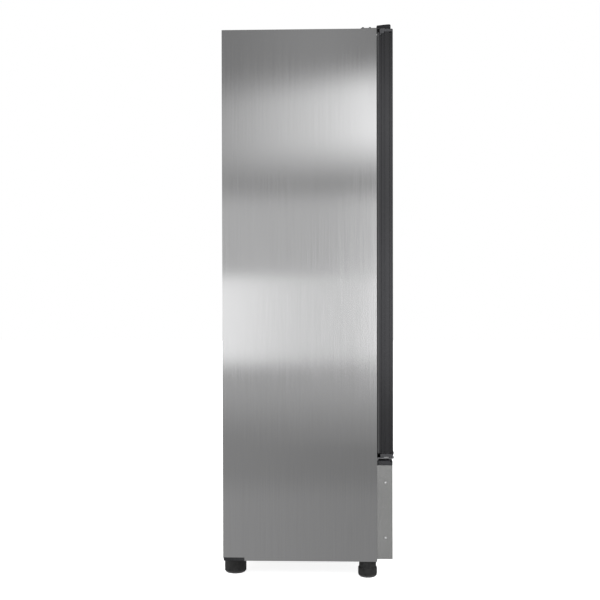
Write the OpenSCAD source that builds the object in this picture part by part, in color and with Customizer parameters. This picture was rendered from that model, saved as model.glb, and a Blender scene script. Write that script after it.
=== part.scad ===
// Upright medical refrigerator with one glass door and a cooling unit in its base.
// Millimetres. +Z is up, the door faces -Y, and the origin lies on the floor under the middle.

/* [Cabinet] */
// Outer width of the cabinet
cabinet_w = 660; // [620:1:760]
// Depth of the cabinet body, without the door
cabinet_d = 560; // [520:1:680]
// Height of the cabinet's top above the floor
cabinet_top = 1985; // [1900:1:2150]
// Height of the cabinet's underside above the floor
foot_h = 60; // [50:1:80]
// Height of the machine room under the insulated box
machine_h = 365; // [355:1:420]
// Thickness of the outer sheets and of the liner
sheet = 1; // [0.8:0.1:1.4]
// Thickness of an insulated side wall
side_wall = 48; // [44:1:60]
// Thickness of the insulated back wall
rear_wall = 50; // [48:1:70]
// Thickness of the insulated floor
floor_wall = 65; // [55:1:80]
// Thickness of the insulated ceiling
ceiling_wall = 60; // [58:1:75]
// Width of the side panel's front flange
front_flange = 30; // [26:1:34]
// Width of the side panel's rear flange
rear_flange = 20; // [15:1:25]
// Thickness of the plastic breaker frame round the mouth
breaker_t = 3; // [2:0.5:5]

/* [Door] */
// Thickness of the door frame
door_t = 50; // [46:1:54]
// Gap between the cabinet's front and the door frame, filled by the gasket
door_gap = 8; // [6:0.5:10]
// Play left between door and cabinet outline at each side and at the top
door_play = 1; // [0.5:0.5:2]
// Width of the door frame's members, seen from the front
member_w = 62; // [60:1:72]
// Height of the door's top cap
top_cap_h = 10; // [8:1:14]
// Drop of the top cap's rear skirts over the stiles
cap_skirt = 6.5; // [3:0.5:10]
// Height of the door's bottom cap
bottom_cap_h = 11; // [9:1:14]
// Height of the door frame's lower end above the machine room's ceiling
door_rise = 26; // [23:1:28]
// Depth of the grooves in the frame's outer edge
groove_d = 3; // [2:0.5:3.5]
// Wall of the hollow frame members
member_wall = 2; // [1.5:0.25:2.5]
// Depth of the finger channel in the handle stile
grip_d = 25; // [22:1:26]
// Thickness of each glass pane
pane_t = 4; // [3:0.5:5]
// Distance between the two panes
pane_gap = 12; // [10:1:13]
// Depth of the glass held in the frame
glass_hold = 14; // [10:1:15]

/* [Hinges] */
// Distance of the hinge axis from the door's edge
hinge_inset = 15; // [13:0.5:16]
// Diameter of the hinge pins
pin_d = 10; // [8:0.5:10.5]
// Running clearance of a pin in its bushing, on the radius
pin_play = 0.05; // [0.03:0.01:0.1]
// Thickness of the top hinge plate
top_plate_t = 3; // [2:0.5:4]
// Thickness of the bottom hinge's arm
arm_t = 5; // [4:0.5:6]
// Length of the arm's nose in front of the door
hinge_nose = 4; // [3:0.5:6]
// Height of the top hinge's cover above its plate
cover_h = 12; // [10:1:16]

/* [Lower front] */
// Depth of the lower cover in front of the cabinet
cover_d = 56; // [50:1:57]
// Thickness of the lower cover's sheet
cover_t = 1.2; // [1:0.1:1.6]
// Height of the trim bar over the lower cover
trim_h = 15; // [12:1:16]
// Radius of the trim bar's round front bead
bead_r = 6; // [5:0.5:6]

/* [Feet] */
// Diameter of the front foot's cup
front_cup_d = 69; // [60:1:70]
// Height of the front foot's cup
front_cup_h = 35; // [30:1:38]
// Diameter of the rear foot
rear_foot_d = 80; // [70:1:84]
// Diameter of the front foot's stem
stem_d = 12; // [10:1:14]
// Length of the notch in the side panel over the rear foot
notch_l = 78; // [70:1:90]
// Height of that notch
notch_h = 12; // [6:1:14]

/* [Shelves] */
// Number of wire shelves
shelf_count = 5; // [3:1:5]
// Pitch of the slots in the shelf pilasters
slot_pitch = 25; // [23:1:26]
// Slots from one shelf to the next
slots_per_shelf = 10; // [9:1:11]
// Diameter of a shelf's frame rods
rod_d = 6; // [5:0.5:7]
// Diameter of a shelf's deck wires
wire_d = 4; // [3:0.5:4.5]
// Number of deck wires on a shelf
deck_wires = 21; // [17:2:25]

/* [Cooling] */
// Diameter of the evaporator fans
small_fan_d = 108; // [90:1:112]
// Diameter of the condenser fan
large_fan_d = 206; // [180:1:210]
// Number of fins on the evaporator coil
evaporator_fins = 24; // [16:1:30]
// Number of fins on the condenser coil
condenser_fins = 26; // [16:1:32]
// Diameter of the compressor's shell
compressor_d = 164; // [150:1:170]
// Radius of the refrigerant tubes
tube_r = 5; // [4:0.5:5.5]

/* [Hidden] */
$fn = 48;

// Gap left between two pieces that must not touch
gap = 0.3;
// A cut runs this far past the face it opens
past = 1;

// Main planes of the cabinet
half_w = cabinet_w / 2;
screw_proud = 2;
overall_d = cabinet_d + door_gap + door_t + hinge_nose + screw_proud;
rear_y = overall_d / 2 - screw_proud;
front_y = rear_y - cabinet_d;
inner_x = half_w - sheet;
back_y = rear_y - 2 * sheet;
box_z0 = foot_h + machine_h;
mouth_z0 = box_z0 + floor_wall;
mouth_z1 = cabinet_top - ceiling_wall;
mouth_x = half_w - side_wall;
liner_x = mouth_x - sheet;
liner_z0 = mouth_z0 + sheet;
liner_z1 = mouth_z1 - sheet;
liner_rear = rear_y - rear_wall - sheet;
breaker_y = front_y + breaker_t;
flange_lap = 5;
ring_z0 = mouth_z0 - flange_lap;
ring_z1 = mouth_z1 + 10;
ring_x = half_w - front_flange;

// Service duct in the back wall, for the tubes and the drain hose
duct_x = [150, 260];
duct_d = 30;
duct_y = back_y - duct_d;

// Main planes of the door
door_x = half_w - door_play;
door_back = front_y - door_gap;
door_front = door_back - door_t;
door_z1 = cabinet_top - door_play;
frame_z0 = box_z0 + door_rise;
frame_z1 = door_z1 - top_cap_h;
door_z0 = frame_z0 - bottom_cap_h;
pocket_x = door_x - member_w;
hinge_x = -door_x + hinge_inset;
hinge_y = door_back - door_t / 2;

// Lower front
cover_front = front_y - cover_d;
trim_z1 = box_z0 + 1;
trim_z0 = trim_z1 - trim_h;
cover_z0 = foot_h + 10;
cover_z1 = trim_z0 - 1;
arm_z1 = door_z0 - 3;
leg_w = 56;
leg_t = 4;
leg_h = 92;
leg_x0 = -half_w + 8;
leg_x1 = leg_x0 + leg_w;

// Shelves
pilaster_w = 25;
pilaster_d = 10;
pilaster_t = 1.2;
pilaster_z0 = liner_z0 + 14;
slot_w = 5;
slot_h = 12;
first_slot = 2;
web_x = liner_x - pilaster_d;
pilaster_y = [front_y + 70, liner_rear - 62];
shelf_y0 = front_y + 44;
shelf_y1 = liner_rear - 36;
shelf_x = web_x - 5;
shelf_r = 16;
weld = 0.7;
clip_t = 4;

// Upper cooling unit, under the ceiling
cooler_h = 135;
cooler_t = 1.2;
cooler_x = liner_x - 18;
cooler_y0 = front_y + 118;
cooler_y1 = liner_rear - 3;
cooler_z0 = liner_z1 - cooler_h;
cooler_zc = cooler_z0 + cooler_h / 2;
pilaster_z1 = cooler_z0 - 8;
small_fan_x = 122;
coil_y0 = cooler_y0 + 118;
coil_d = 84;
coil_x = cooler_x - 62;
coil_z0 = cooler_z0 + 22;
coil_h = 96;

// Machine room
base_t = 1.5;
floor_z = foot_h + base_t;
compressor_c = [125, rear_y - 249];
plate_z = floor_z + 16;
shell_z0 = plate_z + 3;
shell_h = 178;
compressor_foot = compressor_d / 2 + 13;
condenser_y0 = front_y + 22;
condenser_d = 52;
condenser_x = [-half_w + 44, -30];
condenser_z = [floor_z + 14, box_z0 - 81.5];
fan_c = [(condenser_x[0] + condenser_x[1]) / 2, (condenser_z[0] + condenser_z[1]) / 2];
shroud_y0 = condenser_y0 + condenser_d + 1;
shroud_d = 34;

// Hinge screws, cover screws and grille screws, as places of the seat under the head
top_screws = [[-half_w + 30, front_y + 47], [-half_w + 30, front_y + 25]];
leg_screws = [[leg_x0 + 14, box_z0 - 48], [leg_x1 - 14, box_z0 - 48], [leg_x0 + leg_w / 2, box_z0 - 72]];
cover_screw_y = front_y - 30;
cover_screw_z = [cover_z0 + 77, cover_z1 - 63];
grille_screws = [for (x = [-inner_x + 30, inner_x - 30]) for (z = [foot_h + 30, box_z0 - 25]) [x, z]];

// Points of an arc, and of outlines with round corners
function arc(c, r, a0, a1, n = 8) =
    [for (i = [0 : n]) let (a = a0 + (a1 - a0) * i / n) [c[0] + r * cos(a), c[1] + r * sin(a)]];
function round_rect(x0, y0, x1, y1, r, n = 6) = concat(
    arc([x1 - r, y1 - r], r, 0, 90, n),
    arc([x0 + r, y1 - r], r, 90, 180, n),
    arc([x0 + r, y0 + r], r, 180, 270, n),
    arc([x1 - r, y0 + r], r, 270, 360, n));

// A box between two values on each axis
module block(x, y, z) {
    translate([x[0], y[0], z[0]]) cube([x[1] - x[0], y[1] - y[0], z[1] - z[0]]);
}

// An outline drawn in Y and Z and carried along X
module along_x(x0, x1) {
    translate([x0, 0, 0]) rotate([90, 0, 90]) linear_extrude(x1 - x0) children();
}

// An outline drawn in X and Z and carried along Y
module along_y(y0, y1) {
    translate([0, y1, 0]) rotate([90, 0, 0]) linear_extrude(y1 - y0) children();
}

// An outline drawn in X and Y and carried along Z
module along_z(z0, z1) {
    translate([0, 0, z0]) linear_extrude(z1 - z0) children();
}

// A round bar from p along an axis: "x", "y" or "z"
module bar(p, axis, r, h) {
    turn = axis == "x" ? [0, 90, 0] : axis == "y" ? [-90, 0, 0] : [0, 0, 0];
    translate(p) rotate(turn) cylinder(r = r, h = h);
}

// Section of a wire with eight flat sides, d across the flats
module octagon(c, d) {
    translate(c) rotate(22.5) circle(d = d / cos(22.5), $fn = 8);
}

module both_sides() {
    children();
    mirror([1, 0, 0]) children();
}

// A tube through points joined by right-angled runs. Each corner has an elbow a little wider
// than the tube, and the runs reach into the elbows.
elbow_wall = 0.6;
elbow_grip = 3;
module pipe(points, r, bend) {
    last = len(points) - 1;
    for (i = [0 : last - 1]) {
        d = points[i + 1] - points[i];
        u = d / norm(d);
        a = i > 0 ? bend - elbow_grip : 0;
        b = i < last - 1 ? bend - elbow_grip : 0;
        translate(points[i] + a * u) aim(u) cylinder(r = r, h = norm(d) - a - b);
    }
    for (i = [1 : 1 : last - 1]) {
        u = (points[i] - points[i - 1]) / norm(points[i] - points[i - 1]);
        v = (points[i + 1] - points[i]) / norm(points[i + 1] - points[i]);
        w = cross(u, v);
        c = points[i] + bend * (v - u);
        multmatrix([
            [-v[0], u[0], w[0], c[0]],
            [-v[1], u[1], w[1], c[1]],
            [-v[2], u[2], w[2], c[2]],
            [0, 0, 0, 1]
        ]) rotate_extrude(angle = 90) translate([bend, 0]) circle(r = r + elbow_wall);
    }
}

// Turns +Z onto one of the six axis directions
module aim(u) {
    turn = u[0] != 0 ? [0, 90 * sign(u[0]), 0] : u[1] != 0 ? [-90 * sign(u[1]), 0, 0] : [u[2] < 0 ? 180 : 0, 0, 0];
    rotate(turn) children();
}

// A pan-head screw whose seat is at p and whose head points along u
module screw(p, u, head_d = 9, shank_d = 4, grip = 5) {
    head_h = head_d * 0.38;
    translate(p) aim(u) {
        difference() {
            rotate_extrude() polygon(concat(
                [[0, 0], [head_d / 2, 0]],
                arc([0, -head_d * 0.137], head_d * 0.518, 15, 90, 5)));
            for (a = [0, 90]) rotate(a) translate([-head_d * 0.3, -0.5, head_h * 0.55]) cube([head_d * 0.6, 1, head_h]);
        }
        translate([0, 0, -grip]) cylinder(d = shank_d, h = grip);
    }
}

module screw_bore(p, u, d = 4.4, depth = 6) {
    translate(p) aim(u) translate([0, 0, -depth]) cylinder(d = d, h = depth + past);
}

// Cabinet shell

// The outer edges are bent round the sheet's thickness
module side_panel() {
    difference() {
        along_z(foot_h, cabinet_top) polygon(concat(
            arc([-half_w + sheet, rear_y - sheet], sheet, 180, 90, 4),
            [[-half_w + rear_flange, rear_y], [-half_w + rear_flange, rear_y - sheet], [-inner_x, rear_y - sheet]],
            [[-inner_x, front_y + sheet], [-half_w + front_flange, front_y + sheet], [-half_w + front_flange, front_y]],
            arc([-half_w + sheet, front_y + sheet], sheet, 270, 180, 4)));
        block([-half_w - past, -half_w + rear_flange + past], [rear_y - notch_l, rear_y + past],
            [foot_h - past, foot_h + notch_h]);
        hinge_leg_bores();
    }
}

module left_side_panel() {
    color("silver") side_panel();
}

module right_side_panel() {
    color("silver") mirror([1, 0, 0]) side_panel();
}

module top_panel() {
    color("silver") difference() {
        union() {
            block([-inner_x, inner_x], [front_y + sheet, rear_y - sheet], [cabinet_top - sheet, cabinet_top]);
            block([-ring_x, ring_x], [front_y, front_y + sheet], [ring_z1, cabinet_top]);
            block([-half_w + rear_flange, half_w - rear_flange], [rear_y - sheet, rear_y],
                [cabinet_top - 20, cabinet_top]);
        }
        for (p = top_screws) screw_bore([p[0], p[1], cabinet_top], [0, 0, 1]);
    }
}

// The back panel folds forward under the insulated box
module back_panel() {
    color("gainsboro") difference() {
        union() {
            block([-inner_x, inner_x], [back_y, back_y + sheet], [box_z0, cabinet_top - sheet]);
            block([-inner_x, inner_x], [front_y + sheet, back_y], [box_z0, box_z0 + sheet]);
        }
        block(duct_x, [duct_y, back_y], [box_z0 - past, box_z0 + sheet + past]);
    }
}

module insulation_foam() {
    color("khaki") difference() {
        block([-inner_x, inner_x], [front_y + sheet, back_y], [box_z0 + sheet, cabinet_top - sheet]);
        block([-mouth_x, mouth_x], [front_y - past, rear_y - rear_wall], [mouth_z0, mouth_z1]);
        block([-ring_x, ring_x], [front_y - past, breaker_y], [ring_z0, ring_z1]);
        block(duct_x, [duct_y, back_y + past], [box_z0, coil_z0 + coil_h]);
        wall_passage(1.5);
        for (p = top_screws) screw_bore([p[0], p[1], cabinet_top], [0, 0, 1], 5, 14);
    }
}

// Openings in the back wall for the tubes and the drain hose; slack is the space round each
line_x = [duct_x[0] + 75, duct_x[0] + 93];
hose_x = duct_x[0] + 20;
hose_r = 8;
line_z = coil_z0 + coil_h * 7 / 8;
hose_z = cooler_z0 + 9;
module wall_passage(slack) {
    for (x = line_x) bar([x, cooler_y1 - past, line_z], "y", tube_r + slack, back_y - cooler_y1);
    bar([hose_x, cooler_y1 - past, hose_z], "y", hose_r + slack, back_y - cooler_y1);
}

module inner_liner() {
    color("white") difference() {
        block([-mouth_x, mouth_x], [breaker_y, rear_y - rear_wall], [mouth_z0, mouth_z1]);
        block([-liner_x, liner_x], [breaker_y - past, liner_rear], [liner_z0, liner_z1]);
        wall_passage(gap);
    }
}

// Plastic frame between the outer sheets and the liner, with a raised inner lip
module breaker_frame() {
    color("whitesmoke") difference() {
        block([-ring_x, ring_x], [front_y, breaker_y], [ring_z0, ring_z1]);
        block([-liner_x, liner_x], [front_y - past, breaker_y + past], [liner_z0, liner_z1]);
        difference() {
            block([-ring_x + 5, ring_x - 5], [front_y - past, front_y + 1], [ring_z0 + 2, ring_z1 - 5]);
            block([-liner_x - 3, liner_x + 3], [front_y - past, front_y + 1], [liner_z0 - 2, liner_z1 + 3]);
        }
    }
}

// Steel channel across the front under the insulated box, which also takes the lower hinge
module front_sill() {
    color("silver") difference() {
        union() {
            block([-ring_x, ring_x], [front_y, front_y + sheet], [box_z0 - 90, ring_z0]);
            block([-ring_x, ring_x], [front_y + sheet, front_y + 60], [box_z0 - sheet, box_z0]);
            block([-ring_x, ring_x], [front_y + sheet, front_y + 16], [box_z0 - 90, box_z0 - 90 + sheet]);
        }
        hinge_leg_bores();
    }
}

module hinge_leg_bores() {
    for (p = leg_screws) screw_bore([p[0], front_y, p[1]], [0, -1, 0], 4.4, 6);
}

// Floor of the machine room: a folded pan with vents, carried on the feet
module base_pan() {
    color("dimgray") difference() {
        union() {
            block([-inner_x, inner_x], [front_y + sheet, back_y], [foot_h, floor_z]);
            both_sides() block([-inner_x, -inner_x + base_t], [front_y + sheet, back_y], [foot_h, foot_h + 34]);
            block([-ring_x, ring_x], [front_y + sheet, front_y + sheet + base_t], [foot_h, foot_h + 24]);
        }
        both_sides() bar([-front_foot_c[0], front_foot_c[1], foot_h - past], "z", stem_d / 2 + 2, 10);
        for (x = [-130 : 26 : 0]) vent_slot([x, -10], [10, 150]);
    }
}

module vent_slot(c, size) {
    along_z(foot_h - past, floor_z + past) polygon(round_rect(
        c[0] - size[0] / 2, c[1] - size[1] / 2, c[0] + size[0] / 2, c[1] + size[1] / 2, size[0] / 2 - 0.01));
}

// Slotted panel over the machine room's back
grille_columns = 4;
grille_rows = 17;
module rear_grille() {
    pitch_x = (cabinet_w - 150) / grille_columns;
    slot_len = pitch_x - 16;
    z0 = foot_h + 58;
    color("dimgray") difference() {
        along_y(back_y, back_y + sheet) difference() {
            translate([-inner_x, foot_h + 8]) square([2 * inner_x, box_z0 - foot_h - 9]);
            for (c = [0 : grille_columns - 1]) for (r = [0 : grille_rows - 1])
                let (x = (c - (grille_columns - 1) / 2) * pitch_x, z = z0 + r * (machine_h - 90) / (grille_rows - 1))
                    if (c > 0 || r > 3) polygon(round_rect(x - slot_len / 2, z - 3, x + slot_len / 2, z + 3, 2.9, 3));
        }
        for (p = grille_screws) screw_bore([p[0], rear_y - sheet, p[1]], [0, 1, 0]);
        along_y(back_y - past, rear_y) polygon(round_rect(
            inlet_c[0] - 14, inlet_c[1] - 10.5, inlet_c[0] + 14, inlet_c[1] + 10.5, 3));
    }
}

// Lower front

module cover_screws_bores() {
    both_sides() for (z = cover_screw_z) screw_bore([-half_w, cover_screw_y, z], [-1, 0, 0], 4.4, 8);
}

louvre_pitch = 17;
louvre_rows = 12;
louvre_z0 = cover_z0 + 26;
louvre_x = [36, half_w - 44];
module lower_front_cover() {
    color("gray") difference() {
        union() {
            along_z(cover_z0, cover_z1) difference() {
                polygon(concat(
                    [[-half_w, front_y], [half_w, front_y]],
                    [[half_w, cover_front + 1.5]],
                    arc([half_w - 1.5, cover_front + 1.5], 1.5, 0, -90, 3),
                    arc([-half_w + 1.5, cover_front + 1.5], 1.5, -90, -180, 3)));
                translate([-half_w + cover_t, cover_front + cover_t]) square([cabinet_w - 2 * cover_t, cover_d]);
            }
            block([-half_w + cover_t, half_w - cover_t], [cover_front + cover_t, cover_front + 12], [cover_z0, cover_z0 + cover_t]);
            block([-half_w + cover_t, half_w - cover_t], [cover_front + cover_t, cover_front + 12], [cover_z1 - cover_t, cover_z1]);
        }
        both_sides() for (i = [0 : louvre_rows - 1])
            block(louvre_x, [cover_front - past, cover_front + cover_t + past],
                [louvre_z0 + i * louvre_pitch, louvre_z0 + i * louvre_pitch + 8]);
        cover_screws_bores();
        block([panel_x[0] + 3 - gap, panel_x[1] - 3 + gap], [cover_front - past, cover_front + cover_t + past],
            [panel_z[0] + 3 - gap, panel_z[1] - 3 + gap]);
    }
    color("gray") both_sides() for (i = [0 : louvre_rows - 1]) louvre_blade(louvre_z0 + i * louvre_pitch);
}

// A blade pressed inwards from the upper edge of its slot
module louvre_blade(z) {
    along_x(louvre_x[0], louvre_x[1]) polygon([
        [cover_front, z + 8], [cover_front + cover_t, z + 8.6], [cover_front + 7, z - 0.4],
        [cover_front + 6.2, z - 1], [cover_front, z + 7.4]]);
}

// Angles inside the lower cover's side returns, which take its screws
module cover_brackets() {
    x0 = -half_w + cover_t;
    color("darkgray") difference() {
        both_sides() union() {
            block([x0, x0 + 1.5], [front_y - cover_d + 10, front_y], [cover_z0 + 14, cover_z1 - 8]);
            block([x0, -half_w + front_flange - 2], [front_y - 1.5, front_y], [cover_z0 + 14, box_z0 - leg_h - 8]);
        }
        cover_screws_bores();
    }
}

// Trim over the lower cover, with a hollow round bead along its front edge
module trim_bar() {
    bead = [cover_front + bead_r + 0.5, trim_z1 - 1];
    color("#202022") difference() {
        along_x(-half_w, half_w) difference() {
            union() {
                translate([cover_front, trim_z0]) square([cover_d, 2.5]);
                translate([front_y - 2.5, trim_z0]) square([2.5, trim_h]);
                translate([cover_front, trim_z0]) square([2.5, trim_h - 1]);
                translate([cover_front + bead_r, trim_z1 - 2.5]) square([cover_d - bead_r, 2.5]);
                translate(bead) circle(r = bead_r);
            }
            translate(bead) circle(r = bead_r * 0.55);
        }
        block([leg_x0 - 1, leg_x1 + 1], [front_y - leg_t - gap, front_y + past], [trim_z0 - past, trim_z1 + past]);
    }
}

// Screws of the hinges, of the lower cover and of the rear grille
module cabinet_screws() {
    color("lightgray") {
        for (p = top_screws) screw([p[0], p[1], cabinet_top + top_plate_t], [0, 0, 1], 10, 4, top_plate_t + 6);
        for (p = leg_screws) screw([p[0], front_y - leg_t, p[1]], [0, -1, 0], 10, 4, leg_t + 6);
        both_sides() for (z = cover_screw_z) screw([-half_w, cover_screw_y, z], [-1, 0, 0], 8, 4, 7);
        for (p = grille_screws) screw([p[0], rear_y - sheet, p[1]], [0, 1, 0], 7.8, 4, 8);
    }
}

// Hinges

module top_hinge_bracket() {
    x0 = -half_w + 3;
    x1 = x0 + 54;
    z = cabinet_top;
    color("darkgray") union() {
        difference() {
            along_z(z, z + top_plate_t) polygon(concat(
                arc([x1 - 6, front_y + 51], 6, 0, 90), arc([x0 + 6, front_y + 51], 6, 90, 180),
                arc([hinge_x, hinge_y], 12, 180, 270), arc([x1 - 14, hinge_y], 12, 270, 360)));
            for (p = top_screws) screw_bore([p[0], p[1], z + top_plate_t], [0, 0, 1], 4.4, top_plate_t + past);
        }
        bar([hinge_x, hinge_y, z - 37], "z", pin_d / 2, 37);
    }
}

// Moulded cap over the hinge plate, open below, with a roof that falls towards the back
module top_hinge_cover() {
    x0 = -half_w;
    z0 = cabinet_top + door_play;
    z1 = cabinet_top + top_plate_t + cover_h;
    y0 = front_y - 50;
    y1 = front_y;
    color("#151517") difference() {
        intersection() {
            along_y(y0, y1) polygon(concat(
                [[x0, z0]], [[x0 + 84, z0]], arc([x0 + 79, z1 - 5], 5, 0, 90, 4), arc([x0 + 3, z1 - 3], 3, 90, 180, 4)));
            along_x(x0 - past, x0 + 85) polygon(concat(
                [[y1, z1 - 5]], arc([y0 + 6, z1 - 6], 6, 83, 180, 6), [[y0, z0 - past], [y1, z0 - past]]));
        }
        block([x0 + 2, x0 + 82], [y0 + 2, y1 + past], [z0 - past, z1 - 7.5]);
    }
    color("#151517") for (x = [x0 + 8, x0 + 48]) block([x, x + 2], [y0 + 1, y1], [cabinet_top + top_plate_t, z1 - 6.5]);
}

module bottom_hinge_bracket() {
    z1 = arm_z1;
    color("dimgray") difference() {
        union() {
            block([leg_x0, leg_x1], [front_y - leg_t, front_y], [box_z0 - leg_h + 7, z1 - 1]);
            along_z(z1 - arm_t, z1) polygon(concat(
                [[leg_x1, front_y], [leg_x0, front_y]],
                arc([leg_x0 + 14, door_front - hinge_nose + 14], 14, 180, 270),
                arc([leg_x1 - 22, door_front - hinge_nose + 22], 22, 270, 360)));
            bar([hinge_x, hinge_y, z1 - 1], "z", pin_d / 2, 37);
            along_x(leg_x1 - 4, leg_x1) polygon([[front_y - leg_t + 1, z1 - arm_t + 1],
                [front_y - 34, z1 - arm_t + 1], [front_y - leg_t + 1, trim_z1 + 1.2]]);
        }
        for (p = leg_screws) screw_bore([p[0], front_y - leg_t, p[1]], [0, -1, 0], 4.4, leg_t + past);
    }
}

// Plastic bushings let into the door's top and bottom, with a flange that carries the door
bush_r = 7.7;
module hinge_bushings() {
    color("whitesmoke") {
        difference() {
            bar([hinge_x, hinge_y, door_z1 - 42], "z", bush_r, 42);
            bar([hinge_x, hinge_y, door_z1 - 38], "z", pin_d / 2 + pin_play, 42);
        }
        difference() {
            union() {
                bar([hinge_x, hinge_y, door_z0], "z", bush_r, 42);
                bar([hinge_x, hinge_y, arm_z1 + gap], "z", bush_r + 4, door_z0 - arm_z1 - gap);
            }
            bar([hinge_x, hinge_y, arm_z1 - past], "z", pin_d / 2 + pin_play, 39);
        }
    }
}

module bushing_bores() {
    bar([hinge_x, hinge_y, door_z1 - 43], "z", bush_r + 0.1, 50);
    bar([hinge_x, hinge_y, door_z0 - past], "z", bush_r + 0.1, 44);
}

// Door frame. Outlines are drawn as [inward from the outer edge, forward from the back].
pane_v = [door_t - 4.5 - pane_t, door_t - 4.5 - pane_t - pane_gap, door_t - 4.5 - 2 * pane_t - pane_gap];
pocket_v0 = pane_v[2] - 0.2;
pocket_v1 = door_t - 4.3;
pocket_u = member_w - glass_hold - 2;
seal_u = 28;
grip_v = [14, door_t - 9];

module member_outline() {
    polygon(concat(
        [[groove_d, 0], [member_w - 18, 0], [member_w - 4, pocket_v0 - 6], [member_w, pocket_v0 - 3.5]],
        [[member_w, pocket_v0], [pocket_u, pocket_v0], [pocket_u, pocket_v1], [member_w, pocket_v1]],
        [[member_w, door_t]],
        arc([2, door_t - 2], 2, 90, 180, 4),
        [[0, door_t - 6], [groove_d, door_t - 6], [groove_d, door_t - 12]],
        [[0, door_t - 13], [0, 21], [groove_d, 20.5], [groove_d, 17.5]],
        [[0, 17], [0, 9], [groove_d, 8]]));
}

// Slot in the frame's back that holds the gasket's dart
module seal_slot() {
    polygon([[seal_u - 2, -past], [seal_u + 2, -past], [seal_u + 2, 2], [seal_u + 4, 2.5], [seal_u + 4, 7.5],
        [seal_u - 4, 7.5], [seal_u - 4, 2.5], [seal_u - 2, 2]]);
}

module inner_chambers(u0) {
    w = member_wall;
    translate([u0, 9 + w]) square([pocket_u - w - u0, pocket_v0 - 9 - 2 * w]);
    translate([u0, pocket_v0]) square([pocket_u - w - u0, door_t - w - pocket_v0]);
    polygon([[seal_u + 4 + w, w], [member_w - 19, w], [member_w - 19 + (8 - w) * 0.9, 8], [seal_u + 4 + w, 8]]);
}

module hinge_member_section() {
    w = member_wall;
    difference() {
        member_outline();
        seal_slot();
        inner_chambers(25);
        translate([groove_d + w, 9 + w]) square([25 - w - groove_d - w, door_t - 9 - 2 * w]);
        translate([groove_d + w, w]) square([seal_u - 4 - w - groove_d - w, 9 - w]);
    }
}

// The handle stile has a finger channel that hooks behind its front lip
module handle_member_section() {
    w = member_wall;
    v0 = grip_v[0];
    v1 = grip_v[1];
    difference() {
        member_outline();
        seal_slot();
        inner_chambers(grip_d + w + 1);
        polygon(concat(
            [[-past, v0], [grip_d - 5, v0]],
            arc([grip_d - 5, v0 + 5], 5, -90, 0, 4),
            arc([grip_d - 5, v1 - 5], 5, 0, 90, 4),
            [[8, v1], [6, v1 - 5], [-past, v1 - 7]]));
        translate([groove_d + w, w]) square([seal_u - 4 - w - groove_d - w, 9 - w]);
    }
}

// Places a section of [inward, forward] at the hinge side, standing along Z
module stand_up() {
    multmatrix([[1, 0, 0, -door_x], [0, -1, 0, door_back], [0, 0, 1, 0], [0, 0, 0, 1]]) children();
}

module stile_blank() {
    h = frame_z1 - frame_z0;
    intersection() {
        translate([0, 0, frame_z0]) stand_up() linear_extrude(h) children();
        along_y(door_front - past, door_back + past) polygon([
            [-door_x, frame_z0], [-pocket_x, frame_z0 + member_w],
            [-pocket_x, frame_z1 - member_w], [-door_x, frame_z1]]);
    }
}

module hinge_stile() {
    color("#1b1b1d") difference() {
        stile_blank() hinge_member_section();
        bushing_bores();
    }
}

module handle_stile() {
    color("#1b1b1d") mirror([1, 0, 0]) stile_blank() handle_member_section();
}

// One rail lies along X with its outer edge at z, inward along the sign s
module rail(z, s) {
    intersection() {
        multmatrix([[0, 0, 1, -door_x], [0, -1, 0, door_back], [s, 0, 0, z], [0, 0, 0, 1]])
            linear_extrude(2 * door_x) hinge_member_section();
        along_y(door_front - past, door_back + past) polygon([
            [-door_x, z], [door_x, z], [pocket_x, z + s * member_w], [-pocket_x, z + s * member_w]]);
    }
}

module door_rails() {
    color("#1b1b1d") difference() {
        union() {
            rail(frame_z1, -1);
            rail(frame_z0, 1);
        }
        bushing_bores();
    }
}

// Plastic angles pushed into the members' chambers at the four corners
module corner_keys() {
    u0 = grip_d + member_wall + 1 + gap;
    u1 = pocket_u - member_wall - gap;
    v = [pocket_v0 + gap, door_t - member_wall - gap];
    reach = 70;
    color("dimgray") both_sides() for (s = [-1, 1]) {
        z = s < 0 ? frame_z1 : frame_z0;
        along_y(door_back - v[1], door_back - v[0]) polygon([
            [-door_x + u0, z + s * u0], [-door_x + u0 + reach, z + s * u0], [-door_x + u0 + reach, z + s * u1],
            [-door_x + u1, z + s * u1], [-door_x + u1, z + s * (u0 + reach)], [-door_x + u0, z + s * (u0 + reach)]]);
    }
}

module pane(v) {
    x = pocket_x + glass_hold;
    block([-x, x], [door_back - v - pane_t, door_back - v],
        [frame_z0 + member_w - glass_hold, frame_z1 - member_w + glass_hold]);
}

module outer_glass() {
    color("lightcyan", 0.4) pane(pane_v[0]);
}

module inner_glass() {
    color("lightcyan", 0.4) pane(pane_v[2]);
}

module glass_spacer() {
    x = pocket_x + glass_hold - 4;
    z0 = frame_z0 + member_w - glass_hold + 4;
    z1 = frame_z1 - member_w + glass_hold - 4;
    w = glass_hold - 6;
    y = [door_back - pane_v[0], door_back - pane_v[2] - pane_t];
    color("lightgray") difference() {
        block([-x, x], y, [z0, z1]);
        block([-x + w, x - w], [y[0] - past, y[1] + past], [z0 + w, z1 - w]);
    }
}

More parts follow.
